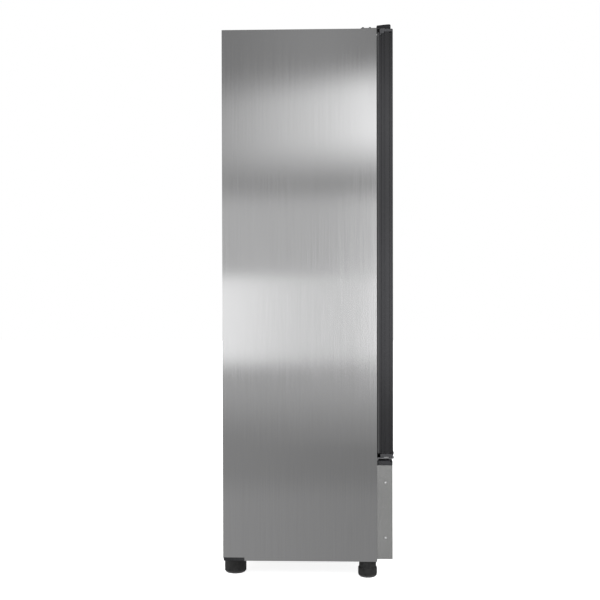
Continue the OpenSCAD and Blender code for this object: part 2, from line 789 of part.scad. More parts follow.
// Magnetic gasket: a dart in the frame's slot, a bellows and a magnet tube
seal_lift = 0.3;
module seal_section() {
    back = -door_gap + seal_lift;
    difference() {
        union() {
            polygon([[seal_u - 1.6, 0], [seal_u - 1.6, 3.2], [seal_u - 3.4, 3.4], [seal_u, 7],
                [seal_u + 3.4, 3.4], [seal_u + 1.6, 3.2], [seal_u + 1.6, 0]]);
            polygon([[seal_u - 10, -1], [seal_u - 10, -0.05], [seal_u + 10, -0.05], [seal_u + 10, -1]]);
            polygon([[seal_u - 9, -1], [seal_u - 7, -2.4], [seal_u - 10, back + 3], [seal_u - 10, back],
                [seal_u + 8, back], [seal_u + 8, back + 3], [seal_u + 9.5, -2.2], [seal_u + 8, -1]]);
            translate([seal_u - 1.6, -0.06]) square([3.2, 0.1]);
        }
        translate([seal_u - 8, back + 0.8]) square([14, 2]);
        polygon([[seal_u - 7.5, -1.2], [seal_u - 5.8, -2.4], [seal_u - 8, back + 3.6], [seal_u + 6.6, back + 3.6],
            [seal_u + 8, -2.2], [seal_u + 7.4, -1.2]]);
    }
}

module door_gasket() {
    far = 10;
    z = [frame_z0, frame_z1];
    color("#2c2c2e") union() {
        both_sides() intersection() {
            translate([0, 0, z[0]]) stand_up() linear_extrude(z[1] - z[0]) seal_section();
            along_y(door_back - far, front_y) polygon([
                [-door_x, z[0]], [-pocket_x, z[0] + member_w], [-pocket_x, z[1] - member_w], [-door_x, z[1]]]);
        }
        for (s = [-1, 1]) {
            zs = s < 0 ? z[1] : z[0];
            intersection() {
                multmatrix([[0, 0, 1, -door_x], [0, -1, 0, door_back], [s, 0, 0, zs], [0, 0, 0, 1]])
                    linear_extrude(2 * door_x) seal_section();
                along_y(door_back - far, front_y) polygon([
                    [-door_x, zs], [door_x, zs], [pocket_x, zs + s * member_w], [-pocket_x, zs + s * member_w]]);
            }
        }
    }
}

// Thin skirt that stands on the top cap's end face and covers the rear rib of the stile
module cap_side_skirt() {
    block([-door_x - 0.8, -door_x], [door_back - 18, door_back - 3], [frame_z1 - cap_skirt, frame_z1 + 3]);
    block([-door_x - 0.8, -door_x + 1], [door_back - 18, door_back - 3], [frame_z1, frame_z1 + 3]);
}

// Moulded caps over the frame's upper and lower ends; tabs reach into the outer grooves
module door_end_caps() {
    color("#4a4a4c") difference() {
        union() {
            difference() {
                along_x(-door_x, door_x) polygon(concat(
                    [[door_back - 3, frame_z1], [door_back - 3, door_z1 - 1], [door_back - 4, door_z1]],
                    arc([door_front + 4, door_z1 - 4], 4, 90, 180, 4), [[door_front, frame_z1]]));
                block([-door_x + 40, door_x - 40], [door_front + 5, door_back - 8], [frame_z1 - past, door_z1 - 3]);
            }
            both_sides() cap_side_skirt();
            both_sides() block([-door_x + 0.2, -door_x + groove_d - 0.1], [door_back - 8 + gap, door_back - 3 - gap],
                [frame_z1 - 12, frame_z1]);
            difference() {
                along_x(-door_x, door_x) polygon([
                    [door_back - 4, frame_z0], [door_back - 4, door_z0 + 2], [door_back - 6, door_z0],
                    [door_front + 2, door_z0], [door_front, door_z0 + 2], [door_front, frame_z0]]);
                block([-door_x + 40, door_x - 40], [door_front + 5, door_back - 8], [door_z0 - past, frame_z0 - 3]);
            }
            along_x(-door_x, door_x) polygon([
                [door_front, frame_z0 - 3], [door_front - 0.8, frame_z0 - 3], [door_front - 3, frame_z0 + 5],
                [door_front - 2.4, frame_z0 + 7], [door_front, frame_z0 + 7]]);
        }
        bushing_bores();
    }
}

// Torsion rod that pulls the door shut, held by a block in the hinge stile
module closing_rod() {
    z0 = door_z0 + 42 + gap;
    rod_len = 620;
    color("silver") union() {
        bar([hinge_x, hinge_y, z0], "z", 3, rod_len);
        block([-door_x + groove_d + member_wall, -door_x + 25 - member_wall], [hinge_y - 13, hinge_y + 9],
            [z0 + rod_len - 40, z0 + rod_len]);
    }
}

// Inside

function shelf_slot_z(i) = pilaster_z0 + 20 + (first_slot + i * slots_per_shelf) * slot_pitch;
function rod_z(i) = shelf_slot_z(i) + clip_t + rod_d / 2 + 0.05;

module pilaster_at(y) {
    slots = floor((pilaster_z1 - pilaster_z0 - 30) / slot_pitch);
    x0 = web_x;
    along_x(x0, x0 + pilaster_t) difference() {
        translate([y - pilaster_w / 2, pilaster_z0]) square([pilaster_w, pilaster_z1 - pilaster_z0]);
        for (i = [0 : slots - 1]) translate([y - slot_w / 2, pilaster_z0 + 20 + i * slot_pitch]) square([slot_w, slot_h]);
    }
    for (s = [0, 1]) block([x0 + pilaster_t, liner_x],
        [y - pilaster_w / 2 + s * (pilaster_w - pilaster_t), y - pilaster_w / 2 + pilaster_t + s * (pilaster_w - pilaster_t)],
        [pilaster_z0, pilaster_z1]);
}

module shelf_pilasters() {
    color("gainsboro") both_sides() for (y = pilaster_y) pilaster_at(y);
}

// A clip hooks behind the pilaster's web and carries a shelf's side rod
module shelf_clip(y, z) {
    x = web_x;
    along_y(y - slot_w / 2 + gap, y + slot_w / 2 - gap) polygon([
        [x - 16, z], [x + pilaster_t + 3, z], [x + pilaster_t + 3, z + 10], [x + pilaster_t + 1, z + 10],
        [x + pilaster_t + 1, z + clip_t], [x - 13, z + clip_t], [x - 13, z + clip_t + 3], [x - 16, z + clip_t + 3]]);
    along_y(y - slot_w / 2 + gap, y + slot_w / 2 - gap) polygon([
        [x, z], [x - 2, z], [x - 2, z - 9], [x, z - 9]]);
}

module shelf_clips() {
    color("silver") both_sides() for (i = [0 : shelf_count - 1]) for (y = pilaster_y) shelf_clip(y, shelf_slot_z(i));
}

// A bent frame rod with round corners, two cross rods and the deck wires welded on top
module wire_shelf(z) {
    x = shelf_x - rod_d / 2;
    y = [shelf_y0 + rod_d / 2, shelf_y1 - rod_d / 2];
    d = shelf_y1 - shelf_y0;
    cross_d = rod_d - 1;
    deck_z = z + cross_d / 2 + wire_d / 2 - weld;
    pitch = 2 * (x - rod_d) / (deck_wires - 1);
    for (s = [-1, 1]) bar([s * x, y[0] + shelf_r, z], "y", rod_d / 2, y[1] - y[0] - 2 * shelf_r);
    for (v = y) bar([-x + shelf_r, v, z], "x", rod_d / 2, 2 * (x - shelf_r));
    for (k = [[-1, 0, 180], [1, 0, 270], [1, 1, 0], [-1, 1, 90]])
        translate([k[0] * (x - shelf_r), y[k[1]] + (1 - 2 * k[1]) * shelf_r, z])
            rotate(k[2]) rotate_extrude(angle = 90) translate([shelf_r, 0]) circle(d = rod_d);
    along_x(-x, x) for (t = [1, 2]) octagon([shelf_y0 + t * d / 3, z], cross_d);
    along_y(shelf_y0 + 0.5, shelf_y1 - 0.5) for (i = [1 : deck_wires - 2]) octagon([-x + rod_d + i * pitch, deck_z], wire_d);
}

module wire_shelves() {
    color("white") for (i = [0 : shelf_count - 1]) wire_shelf(rod_z(i));
}

lamp_y = [front_y + 44, front_y + 84];
lamp_half = liner_x - 42;
lamp_h = 18;
module lamp_housing() {
    z = liner_z1;
    color("silver") along_x(-lamp_half, lamp_half) difference() {
        translate([lamp_y[0], z - lamp_h]) square([lamp_y[1] - lamp_y[0], lamp_h]);
        translate([lamp_y[0] + 2, z - lamp_h - past]) square([lamp_y[1] - lamp_y[0] - 4, 8 + past]);
    }
}

module lamp_diffuser() {
    z = liner_z1 - lamp_h;
    y0 = lamp_y[0] + 2 + gap;
    y1 = lamp_y[1] - 2 - gap;
    color("white") along_x(-lamp_half + 1, lamp_half - 1) polygon(concat(
        [[y1, z + 7.5], [y0, z + 7.5]],
        arc([y0 + 12, z + 2], 12, 180, 270, 5),
        arc([y1 - 12, z + 2], 12, 270, 360, 5)));
}

// Upper cooling unit

// Fins on two rows of tubes along X. One circuit: in and out at +X on the top level,
// U-bends up each row, and a cross bend between the rows on the lowest level.
tube_end = 8;
module finned_coil(x, y, z, fins, levels, r) {
    pitch = (x[1] - x[0] - 1) / (fins - 1);
    tube_y = [y[0] + (y[1] - y[0]) / 4, y[1] - (y[1] - y[0]) / 4];
    step = (z[1] - z[0]) / levels;
    for (i = [0 : fins - 1]) block([x[0] + i * pitch, x[0] + i * pitch + 0.8], y, z);
    for (ty = tube_y) for (l = [0 : levels - 1])
        bar([x[0] - tube_end, ty, z[0] + (l + 0.5) * step], "x", r, x[1] - x[0] + 2 * tube_end);
    for (ty = tube_y) for (l = [0 : levels - 2]) let (side = l % 2 == 0 ? -1 : 1)
        translate([side > 0 ? x[1] + tube_end : x[0] - tube_end, ty, z[0] + (l + 1) * step])
            rotate([90, side * 90, 0]) rotate_extrude(angle = 180) translate([step / 2, 0]) circle(r = r);
    translate([x[1] + tube_end, (y[0] + y[1]) / 2, z[0] + step / 2])
        rotate(-90) rotate_extrude(angle = 180) translate([(y[1] - y[0]) / 4, 0]) circle(r = r);
}

module evaporator_coil() {
    color("silver") finned_coil([-coil_x, coil_x], [coil_y0, coil_y0 + coil_d],
        [coil_z0, coil_z0 + coil_h], evaporator_fins, 4, 4.5);
}

module evaporator_housing() {
    t = cooler_t;
    x = cooler_x;
    color("gainsboro") difference() {
        union() {
            difference() {
                block([-x, x], [cooler_y0, cooler_y1], [cooler_z0, liner_z1]);
                block([-x + t, x - t], [cooler_y0 + t, cooler_y1 + past], [cooler_z0 + t, liner_z1 + past]);
            }
            for (s = [-1, 1]) bar([s * small_fan_x, cooler_y0 + t, cooler_zc], "y", small_fan_d / 2 + 5, 10);
        }
        for (s = [-1, 1]) bar([s * small_fan_x, cooler_y0 - past, cooler_zc], "y", small_fan_d / 2 + 3.5, 20);
        for (i = [-9 : 9]) block([i * 25 - 5, i * 25 + 5], [cooler_y1 - 84, cooler_y1 - 24], [cooler_z0 - past, cooler_z0 + t + past]);
    }
}

// Tray under the coil, with a spout through the housing's open back
tray_z0 = cooler_z0 + cooler_t;
module drain_tray() {
    t = 1.2;
    y0 = coil_y0 - 8;
    y1 = coil_y0 + coil_d + 8;
    x = coil_x + 24;
    color("white") difference() {
        union() {
            block([-x, x], [y0, y1], [tray_z0, tray_z0 + 17]);
            block([hose_x - 11, hose_x + 11], [y1 - past, cooler_y1], [tray_z0, tray_z0 + 17]);
        }
        block([-x + t, x - t], [y0 + t, y1 - t], [tray_z0 + t, tray_z0 + 20]);
        block([hose_x - 9.8, hose_x + 9.8], [y1 - 2 * t, cooler_y1 - t], [tray_z0 + t, tray_z0 + 20]);
        bar([hose_x, cooler_y1 - 4, hose_z], "y", hose_r - 2, 10);
    }
    color("white") for (s = [-1, 1]) for (y = [coil_y0 + 4, coil_y0 + coil_d - 10])
        block([s * coil_x * 0.9 - 8, s * coil_x * 0.9 + 8], [y, y + 6], [tray_z0 + t, coil_z0]);
}

module drain_hose() {
    y = duct_y + duct_d / 2;
    color("whitesmoke") pipe([[hose_x, cooler_y1, hose_z], [hose_x, y, hose_z], [hose_x, y, pan_z1 - 14]], hose_r, 14);
}

// Shaded-pole motor with its shaft towards -Y and a strip that holds it at its back
motor_l = 44;
shaft_d = 5;
fan_front = 5;
fan_hub_l = 18;
fan_to_motor = 40;
large_fan_y = shroud_y0 + 24;
module fan_motor(c, reach) {
    translate(c) {
        along_y(0, motor_l) polygon(round_rect(-24, -22, 24, 22, 8, 4));
        bar([0, -10, 0], "y", 15, 10);
        bar([0, 4 - fan_to_motor, 0], "y", shaft_d / 2, fan_to_motor - 12);
        difference() {
            block([-14, 14], [motor_l, motor_l + 2], reach);
            for (z = [reach[0] + 8, reach[1] - 8]) bar([0, motor_l - past, z], "y", 2.2, 5);
        }
    }
}

module fan_motors() {
    y1 = large_fan_y + fan_to_motor;
    color("#333336") {
        for (s = [-1, 1]) fan_motor([s * small_fan_x, cooler_y0 + cooler_t + fan_front + fan_to_motor, cooler_zc],
            [tray_z0 - cooler_zc, liner_z1 - cooler_zc]);
        fan_motor([fan_c[0], y1, fan_c[1]], [floor_z - fan_c[1], shroud_z1 - fan_c[1]]);
        block([fan_c[0] - 14, fan_c[0] + 14], [shroud_y0 + shroud_d - 10, y1 + motor_l + 2], [shroud_z1, shroud_z1 + 2]);
    }
}

// A fan with cambered blades; its bore runs along Y and its front is at y = 0
module fan_rotor(d, hub_d, blade_l, blades) {
    difference() {
        union() {
            rotate([-90, 0, 0]) rotate_extrude() polygon(concat(
                [[0, 0]], arc([hub_d / 2 - 4, 4], 4, -90, 0, 4), [[hub_d / 2, fan_hub_l], [0, fan_hub_l]]));
            for (i = [0 : blades - 1]) rotate([0, i * 360 / blades, 0]) fan_blade(d / 2, hub_d / 2, blade_l);
        }
        bar([0, 3, 0], "y", shaft_d / 2 + pin_play, fan_hub_l);
    }
}

// One blade: a thin curved sheet, trimmed to the blade's outline seen from the front
module fan_blade(tip_r, hub_r, blade_l) {
    bow = blade_l * 1.4;
    intersection() {
        translate([0, fan_hub_l / 2 - bow * 0.8, 0]) difference() {
            translate([blade_l * 0.72, 0, hub_r * 0.6]) cylinder(r = bow, h = tip_r);
            translate([blade_l * 0.72, 0, hub_r * 0.6 - past]) cylinder(r = bow - 1.6, h = tip_r + 2 * past);
        }
        along_y(-2, fan_hub_l + 8) polygon(concat(
            arc([0, 0], tip_r, 90 - blade_l * 50 / tip_r, 90 + blade_l * 12 / tip_r, 8),
            [[-hub_r * 0.5, hub_r * 0.7], [hub_r * 0.7, hub_r * 0.6]]));
    }
}

module evaporator_fan(x) {
    translate([x, cooler_y0 + cooler_t + fan_front, cooler_zc]) fan_rotor(small_fan_d, 34, 34, 5);
}

module evaporator_fan_left() {
    color("#3a3a3e") evaporator_fan(-small_fan_x);
}

module evaporator_fan_right() {
    color("#3a3a3e") evaporator_fan(small_fan_x);
}

// Wire guards in front of the upper fans: rings on four spokes
module fan_guard(c) {
    r = small_fan_d / 2 + 8;
    w = 2.4;
    translate(c) {
        rotate([-90, 0, 0]) for (k = [0.25, 0.5, 0.75, 1])
            rotate_extrude() translate([r * k, 0]) rotate(22.5) circle(d = w, $fn = 8);
        for (a = [45, 135]) rotate([0, a, 0]) along_x(-r - 3, r + 3) octagon([1.6, 0], w);
    }
}

module fan_guards() {
    color("silver") for (s = [-1, 1]) fan_guard([s * small_fan_x, cooler_y0 - 2.8, cooler_zc]);
}

// Machine room

// Compressor with a terminal cover, a discharge stub at -X and a suction stub at +X
stub_l = 8;
discharge_z = shell_z0 + 70;
suction_z = shell_z0 + 116;
module compressor() {
    r = compressor_d / 2;
    z0 = shell_z0;
    seam = z0 + shell_h * 0.52;
    foot = compressor_foot;
    color("#1d1d1f") translate([compressor_c[0], compressor_c[1], 0]) {
        rotate_extrude() polygon(concat(
            [[0, z0]], arc([r - 34, z0 + 34], 34, -90, 0, 6),
            [[r, seam - 4], [r + 4, seam - 4], [r + 4, seam + 4], [r - 2, seam + 4]],
            arc([r - 42, z0 + shell_h - 40], 40, 0, 78, 6), [[0, z0 + shell_h]]));
        difference() {
            along_z(plate_z, shell_z0) polygon(round_rect(-foot, -foot * 0.72, foot, foot * 0.72, 18, 5));
            for (x = [-1, 1]) for (y = [-1, 1]) bar([x * (foot - 17), y * (foot * 0.72 - 17), plate_z - past], "z", 7, 8);
        }
        bar([0, 0, plate_z], "z", r * 0.5, 10);
        along_z(z0 + 22, z0 + 80) polygon(round_rect(r - 14, -26, r + 26, 26, 5, 4));
        bar([-r - stub_l, 0, discharge_z], "x", tube_r + 1, stub_l + 4);
        bar([r - 6, 0, suction_z], "x", tube_r + 1, 10);
    }
}

module compressor_grommets() {
    foot = compressor_foot;
    color("#101010") for (x = [-1, 1]) for (y = [-1, 1])
        translate([compressor_c[0] + x * (foot - 17), compressor_c[1] + y * (foot * 0.72 - 17), 0])
            rotate_extrude() polygon([
                [3, floor_z], [12, floor_z], [14, floor_z + 5], [12, plate_z], [6.7, plate_z],
                [6.7, shell_z0], [11, shell_z0], [10, shell_z0 + 5], [3, shell_z0 + 5]]);
}

module condenser_coil() {
    color("#222224") {
        finned_coil(condenser_x, [condenser_y0, condenser_y0 + condenser_d], condenser_z, condenser_fins, 6, 4.5);
        for (x = [condenser_x[0], condenser_x[1] - 1.5])
            block([x, x + 1.5], [condenser_y0, condenser_y0 + condenser_d], [floor_z, condenser_z[1]]);
    }
}

shroud_z1 = condenser_z[1] + 6;
module condenser_shroud() {
    x0 = condenser_x[0] - 2;
    x1 = condenser_x[1] + 2;
    color("#1b1b1d") difference() {
        union() {
            difference() {
                block([x0, x1], [shroud_y0, shroud_y0 + shroud_d], [floor_z, shroud_z1]);
                block([x0 + 2, x1 - 2], [shroud_y0 - past, shroud_y0 + shroud_d - 2], [floor_z + 12, shroud_z1 - 2]);
            }
            bar([fan_c[0], shroud_y0 + shroud_d - 2, fan_c[1]], "y", large_fan_d / 2 + 7, 16);
        }
        bar([fan_c[0], shroud_y0, fan_c[1]], "y", large_fan_d / 2 + 4, shroud_d + 30);
    }
}

module condenser_fan() {
    color("#3a3a3e") translate([fan_c[0], large_fan_y, fan_c[1]]) fan_rotor(large_fan_d, 46, 62, 5);
}

// Discharge line, liquid line with its drier, capillary and suction line
capillary_r = 3;
drier_l = 100;
module refrigerant_lines() {
    bend = 12;
    c = compressor_c;
    x_discharge = c[0] - compressor_d / 2 - stub_l;
    x_suction = c[0] + compressor_d / 2 + 4;
    step = (condenser_z[1] - condenser_z[0]) / 6;
    top_z = condenser_z[1] - step / 2;
    low_z = condenser_z[0] + step / 2;
    front_row = condenser_y0 + condenser_d / 4;
    rear_row = condenser_y0 + condenser_d * 3 / 4;
    cold_row = [coil_y0 + coil_d / 4, coil_y0 + coil_d * 3 / 4];
    y = duct_y + duct_d / 2;
    x_end = condenser_x[1] + tube_end;
    x_drier = x_end + 60;
    z_drier = low_z + 60;
    x_far = half_w - 18;
    color("#b87333") {
        pipe([[x_discharge, c[1], discharge_z], [x_discharge - 34, c[1], discharge_z], [x_discharge - 34, c[1], top_z],
            [x_discharge - 34, rear_row, top_z], [x_end, rear_row, top_z]], tube_r, bend);
        pipe([[x_end, front_row, top_z], [x_drier, front_row, top_z],
            [x_drier, front_row, z_drier + drier_l - 8]], tube_r, bend);
        translate([x_drier, front_row, z_drier]) rotate_extrude() polygon([
            [0, 0], [capillary_r + 1.5, 0], [capillary_r + 1.5, 6], [11, 16], [11, drier_l - 16],
            [tube_r + 1.5, drier_l - 6], [tube_r + 1.5, drier_l], [0, drier_l]]);
        pipe([[x_drier, front_row, z_drier + 4], [x_drier, front_row, low_z], [x_far, front_row, low_z], [x_far, y, low_z],
            [x_far, y, box_z0 - 40], [line_x[1], y, box_z0 - 40], [line_x[1], y, line_z],
            [line_x[1], cold_row[0], line_z], [coil_x + tube_end, cold_row[0], line_z]], capillary_r, bend);
        pipe([[coil_x + tube_end, cold_row[1], line_z], [line_x[0], cold_row[1], line_z], [line_x[0], y, line_z],
            [line_x[0], y, suction_z], [line_x[0], c[1], suction_z], [x_suction, c[1], suction_z]], tube_r, bend);
    }
}

pan_z1 = floor_z + 46;
pan_x = [60, 285];
pan_y = [back_y - 118, back_y - 3];
module evaporation_pan() {
    t = 2;
    color("#2a2a2c") difference() {
        block(pan_x, pan_y, [floor_z, pan_z1]);
        block([pan_x[0] + t, pan_x[1] - t], [pan_y[0] + t, pan_y[1] - t], [floor_z + t, pan_z1 + past]);
    }
}

box_x = [-half_w + 26, -half_w + 166];
box_y = [back_y - 150, back_y - 40];
gland_y = [box_y[0] + 40, box_y[0] + 72];
module electrical_box() {
    z = [floor_z, floor_z + 150];
    gland_z = z[0] + 22;
    color("gainsboro") difference() {
        union() {
            block(box_x, box_y, z);
            along_x(box_x[1] - 1, box_x[1] + 3) polygon(round_rect(box_y[0] - 2, z[0] + gap, box_y[1] + 2, z[1] + 2, 4));
            for (y = gland_y) bar([box_x[1], y, gland_z], "x", 8, 16);
        }
        block([box_x[0] + 2, box_x[1]], [box_y[0] + 2, box_y[1] - 2], [z[0] + 2, z[1] - 2]);
        for (y = gland_y) bar([box_x[1] - past, y, gland_z], "x", 5, 16 + 2 * past);
    }
}

// Recessed three-pin inlet in the rear grille
inlet_c = [-half_w + 112, foot_h + 82];
module power_inlet() {
    c = inlet_c;
    y1 = rear_y;
    color("#121214") union() {
        difference() {
            union() {
                along_y(y1 - sheet, y1 + 1) polygon(round_rect(c[0] - 24, c[1] - 13, c[0] + 24, c[1] + 13, 3));
                along_y(y1 - 26, y1) polygon(round_rect(c[0] - 13.7, c[1] - 10.2, c[0] + 13.7, c[1] + 10.2, 3));
            }
            along_y(y1 - 19, y1 + 1 + past) polygon([
                [c[0] - 12, c[1] - 8], [c[0] + 12, c[1] - 8], [c[0] + 12, c[1] + 4], [c[0] + 8, c[1] + 8],
                [c[0] - 8, c[1] + 8], [c[0] - 12, c[1] + 4]]);
        }
        for (p = [[-7, -2], [7, -2], [0, 2.5]]) block([c[0] + p[0] - 1, c[0] + p[0] + 1], [y1 - 20, y1 - 4],
            [c[1] + p[1] - 2, c[1] + p[1] + 2]);
    }
}

// Controller in the lower front cover
panel_x = [half_w - 244, half_w - 40];
panel_z = [cover_z1 - 74, cover_z1 - 16];
panel_front = cover_front - 2;
panel_zc = (panel_z[0] + panel_z[1]) / 2;
display_x = [panel_x[0] + 14, panel_x[0] + 78];
display_half = 17;
button_x = [panel_x[0] + 94, panel_x[0] + 115, panel_x[0] + 136];
button_d = 12;
button_travel = 1;
switch_x = panel_x[1] - 26;
switch_half = [8.5, 13];
switch_tilt = 8;
panel_t = 6;
board_v = 13;

module controller_housing() {
    rear = cover_front + cover_t + 34;
    color("#18181a") difference() {
        union() {
            along_y(panel_front, cover_front) polygon(round_rect(panel_x[0], panel_z[0], panel_x[1], panel_z[1], 5));
            block([panel_x[0] + 3, panel_x[1] - 3], [panel_front + 1, rear], [panel_z[0] + 3, panel_z[1] - 3]);
        }
        block([panel_x[0] + 6, panel_x[1] - 6], [panel_front + panel_t, rear - 3], [panel_z[0] + 6, panel_z[1] - 6]);
        along_y(panel_front - past, panel_front + 3) polygon(round_rect(
            display_x[0], panel_zc - display_half, display_x[1], panel_zc + display_half, 3));
        for (x = button_x) bar([x, panel_front - past, panel_zc], "y", button_d / 2 + gap, panel_t + 2);
        block([switch_x - switch_half[0] - gap, switch_x + switch_half[0] + gap], [panel_front - past, panel_front + 8],
            [panel_zc - switch_half[1] - gap, panel_zc + switch_half[1] + gap]);
    }
    color("#18181a") {
        block([panel_x[0] + 6, panel_x[1] - 6], [panel_front + board_v, panel_front + board_v + 2], [panel_z[0] + 6, panel_z[1] - 6]);
        for (s = [-1, 1]) difference() {
            block([switch_x + s * (switch_half[0] + 2) - 1.5, switch_x + s * (switch_half[0] + 2) + 1.5],
                [panel_front + panel_t, panel_front + board_v], [panel_zc - 4, panel_zc + 4]);
            bar([switch_x - 20, switch_y, panel_zc], "x", 1.5 + pin_play, 40);
        }
    }
}

module controller_display() {
    color("#301010") along_y(panel_front + 0.8, panel_front + 3) polygon(round_rect(
        display_x[0] + 0.2, panel_zc - display_half + 0.2, display_x[1] - 0.2, panel_zc + display_half - 0.2, 2.8));
}

// A key cap with a flange behind the panel's front wall and a stem that stops short of the board
module button(x) {
    r = button_d / 2;
    color("silver") translate([x, panel_front, panel_zc]) rotate([-90, 0, 0]) rotate_extrude() polygon([
        [0, -1.2], [r - 1, -1.2], [r, -0.4], [r, panel_t + gap], [r + 1.6, panel_t + gap],
        [r + 1.6, panel_t + 1.8], [2.5, panel_t + 1.8], [2.5, board_v - button_travel - 0.2],
        [0, board_v - button_travel - 0.2]]);
}

module button_down() {
    button(button_x[0]);
}

module button_up() {
    button(button_x[1]);
}

module button_set() {
    button(button_x[2]);
}

// Rocker on its pin, tipped to the side that keeps the lamp on
switch_y = panel_front + 8.6;
module lamp_switch() {
    w = switch_half[0];
    h = switch_half[1] - 1.4;
    color("#0c0c0e") translate([switch_x, switch_y, panel_zc]) rotate([switch_tilt, 0, 0]) union() {
        along_x(-w, w) polygon([
            [-10, h], [-8.2, 0], [-10, -h], [-3.5, -h], [2.2, -3], [2.2, 3], [-3.5, h]]);
        bar([-w - 3, 0, 0], "x", 1.5, 2 * w + 6);
    }
}

// Feet

front_foot_c = [half_w - front_cup_d / 2, front_y + 34];
rear_foot_c = [half_w - 41 - rear_foot_d / 2, rear_y + screw_proud - rear_foot_d / 2];
foot_plate_t = 5;

module rear_feet() {
    r = rear_foot_d / 2;
    color("#161618") both_sides() translate([-rear_foot_c[0], rear_foot_c[1], 0]) rotate_extrude() polygon([
        [0, 0], [r - 5, 0], [r, 6], [r, foot_h - 8], [r - 2, foot_h - 6], [r - 2, foot_h], [0, foot_h]]);
}

// Steel plate and plastic collar that take the front foot's stem
module front_foot_sockets() {
    r = front_cup_d / 2 - 3.5;
    color("#2b2b2d") both_sides() translate([-front_foot_c[0], front_foot_c[1], 0]) difference() {
        union() {
            along_z(foot_h - foot_plate_t, foot_h) polygon(round_rect(-r + 0.5, -r + 0.5, r - 0.5, r - 0.5, 4));
            bar([0, 0, front_cup_h + gap], "z", r, foot_h - foot_plate_t - front_cup_h - gap);
        }
        bar([0, 0, 0], "z", stem_d / 2 + pin_play, foot_h + past);
    }
}

module front_foot() {
    r = front_cup_d / 2;
    h = front_cup_h;
    s = stem_d / 2;
    color("#161618") translate([-front_foot_c[0], front_foot_c[1], 0]) rotate_extrude() polygon([
        [0, 0], [r - 6, 0], [r - 1, 5], [r, 12], [r, h - 3], [r - 2, h], [s, h], [s, foot_h + 22], [0, foot_h + 22]]);
}

module front_foot_left() {
    front_foot();
}

module front_foot_right() {
    mirror([1, 0, 0]) front_foot();
}

left_side_panel();
right_side_panel();
top_panel();
back_panel();
insulation_foam();
inner_liner();
breaker_frame();
front_sill();
base_pan();
rear_grille();
lower_front_cover();
cover_brackets();
trim_bar();
cabinet_screws();
top_hinge_bracket();
top_hinge_cover();
bottom_hinge_bracket();
shelf_pilasters();
shelf_clips();
wire_shelves();
lamp_housing();
lamp_diffuser();
evaporator_coil();
evaporator_housing();
drain_tray();
drain_hose();
fan_motors();
fan_guards();
evaporator_fan_left();
evaporator_fan_right();
compressor();
compressor_grommets();
condenser_coil();
condenser_shroud();
condenser_fan();
refrigerant_lines();
evaporation_pan();
electrical_box();
power_inlet();
controller_housing();
controller_display();
button_down();
button_up();
button_set();
lamp_switch();
rear_feet();
front_foot_sockets();
front_foot_left();
front_foot_right();
hinge_stile();
handle_stile();
door_rails();
corner_keys();
outer_glass();
inner_glass();
glass_spacer();
door_gasket();
door_end_caps();
hinge_bushings();
closing_rod();
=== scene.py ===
import math

import bmesh
import bpy
import numpy as np
from mathutils import Matrix, Vector


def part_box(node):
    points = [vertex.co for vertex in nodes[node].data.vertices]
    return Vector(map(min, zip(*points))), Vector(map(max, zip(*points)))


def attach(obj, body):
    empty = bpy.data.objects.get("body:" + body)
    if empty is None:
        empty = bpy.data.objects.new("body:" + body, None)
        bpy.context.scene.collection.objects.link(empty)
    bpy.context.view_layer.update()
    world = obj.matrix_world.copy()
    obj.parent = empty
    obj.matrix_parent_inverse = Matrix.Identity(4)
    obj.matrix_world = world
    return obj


mm = 0.001

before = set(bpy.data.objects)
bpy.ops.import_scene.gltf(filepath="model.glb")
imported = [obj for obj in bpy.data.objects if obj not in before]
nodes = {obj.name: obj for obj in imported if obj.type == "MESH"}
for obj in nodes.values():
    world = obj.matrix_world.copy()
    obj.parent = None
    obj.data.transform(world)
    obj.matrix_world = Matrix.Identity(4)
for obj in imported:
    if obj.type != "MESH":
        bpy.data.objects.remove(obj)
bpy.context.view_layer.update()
scene = bpy.context.scene
print("stage: frame loaded,", len(nodes), "nodes")

# Camera: metres and degrees, read from the edges of the side panel in the photograph. It looks along
# +X, turned a little towards the front and down.
cameraView = {
    "place": (-3.9379, -0.0996, 1.0518),
    "towardsFront": 2.0241,
    "pitch": -0.6889,
    "roll": 0.1188,
    "focalPixels": 997.79,
    "framePixels": 600.0,
    "sensor": 36.0,
    "farthest": 60.0,
}


def makeCamera(view):
    turn = math.radians(view["towardsFront"])
    pitch = math.radians(view["pitch"])
    roll = math.radians(view["roll"])
    flat = math.cos(pitch)
    ahead = Vector((math.cos(turn) * flat, math.sin(turn) * flat, math.sin(pitch)))
    level = Vector((math.sin(turn), -math.cos(turn), 0))
    up = level.cross(ahead)
    right = level * math.cos(roll) - up * math.sin(roll)
    top = up * math.cos(roll) + level * math.sin(roll)
    data = bpy.data.cameras.new("sideCamera")
    data.sensor_width = view["sensor"]
    data.lens = view["sensor"] * view["focalPixels"] / view["framePixels"]
    data.clip_end = view["farthest"]
    camera = bpy.data.objects.new("sideCamera", data)
    scene.collection.objects.link(camera)
    place = Matrix((right, top, -ahead)).transposed().to_4x4()
    place.translation = Vector(view["place"])
    camera.matrix_world = place
    return camera


scene.camera = makeCamera(cameraView)
scene.view_settings.view_transform = "Standard"
print("stage: camera")


# Node helpers: each adds one node and returns the socket that the next one reads

def link(tree, source, target):
    tree.links.new(source, target)


def objectPoint(tree, cell):
    # Object coordinates divided by the cell's size, so one noise cell has that size in metres
    source = tree.nodes.new("ShaderNodeTexCoord")
    mapping = tree.nodes.new("ShaderNodeMapping")
    mapping.inputs["Scale"].default_value = tuple(1 / c for c in cell)
    link(tree, source.outputs["Object"], mapping.inputs["Vector"])
    return mapping.outputs["Vector"]


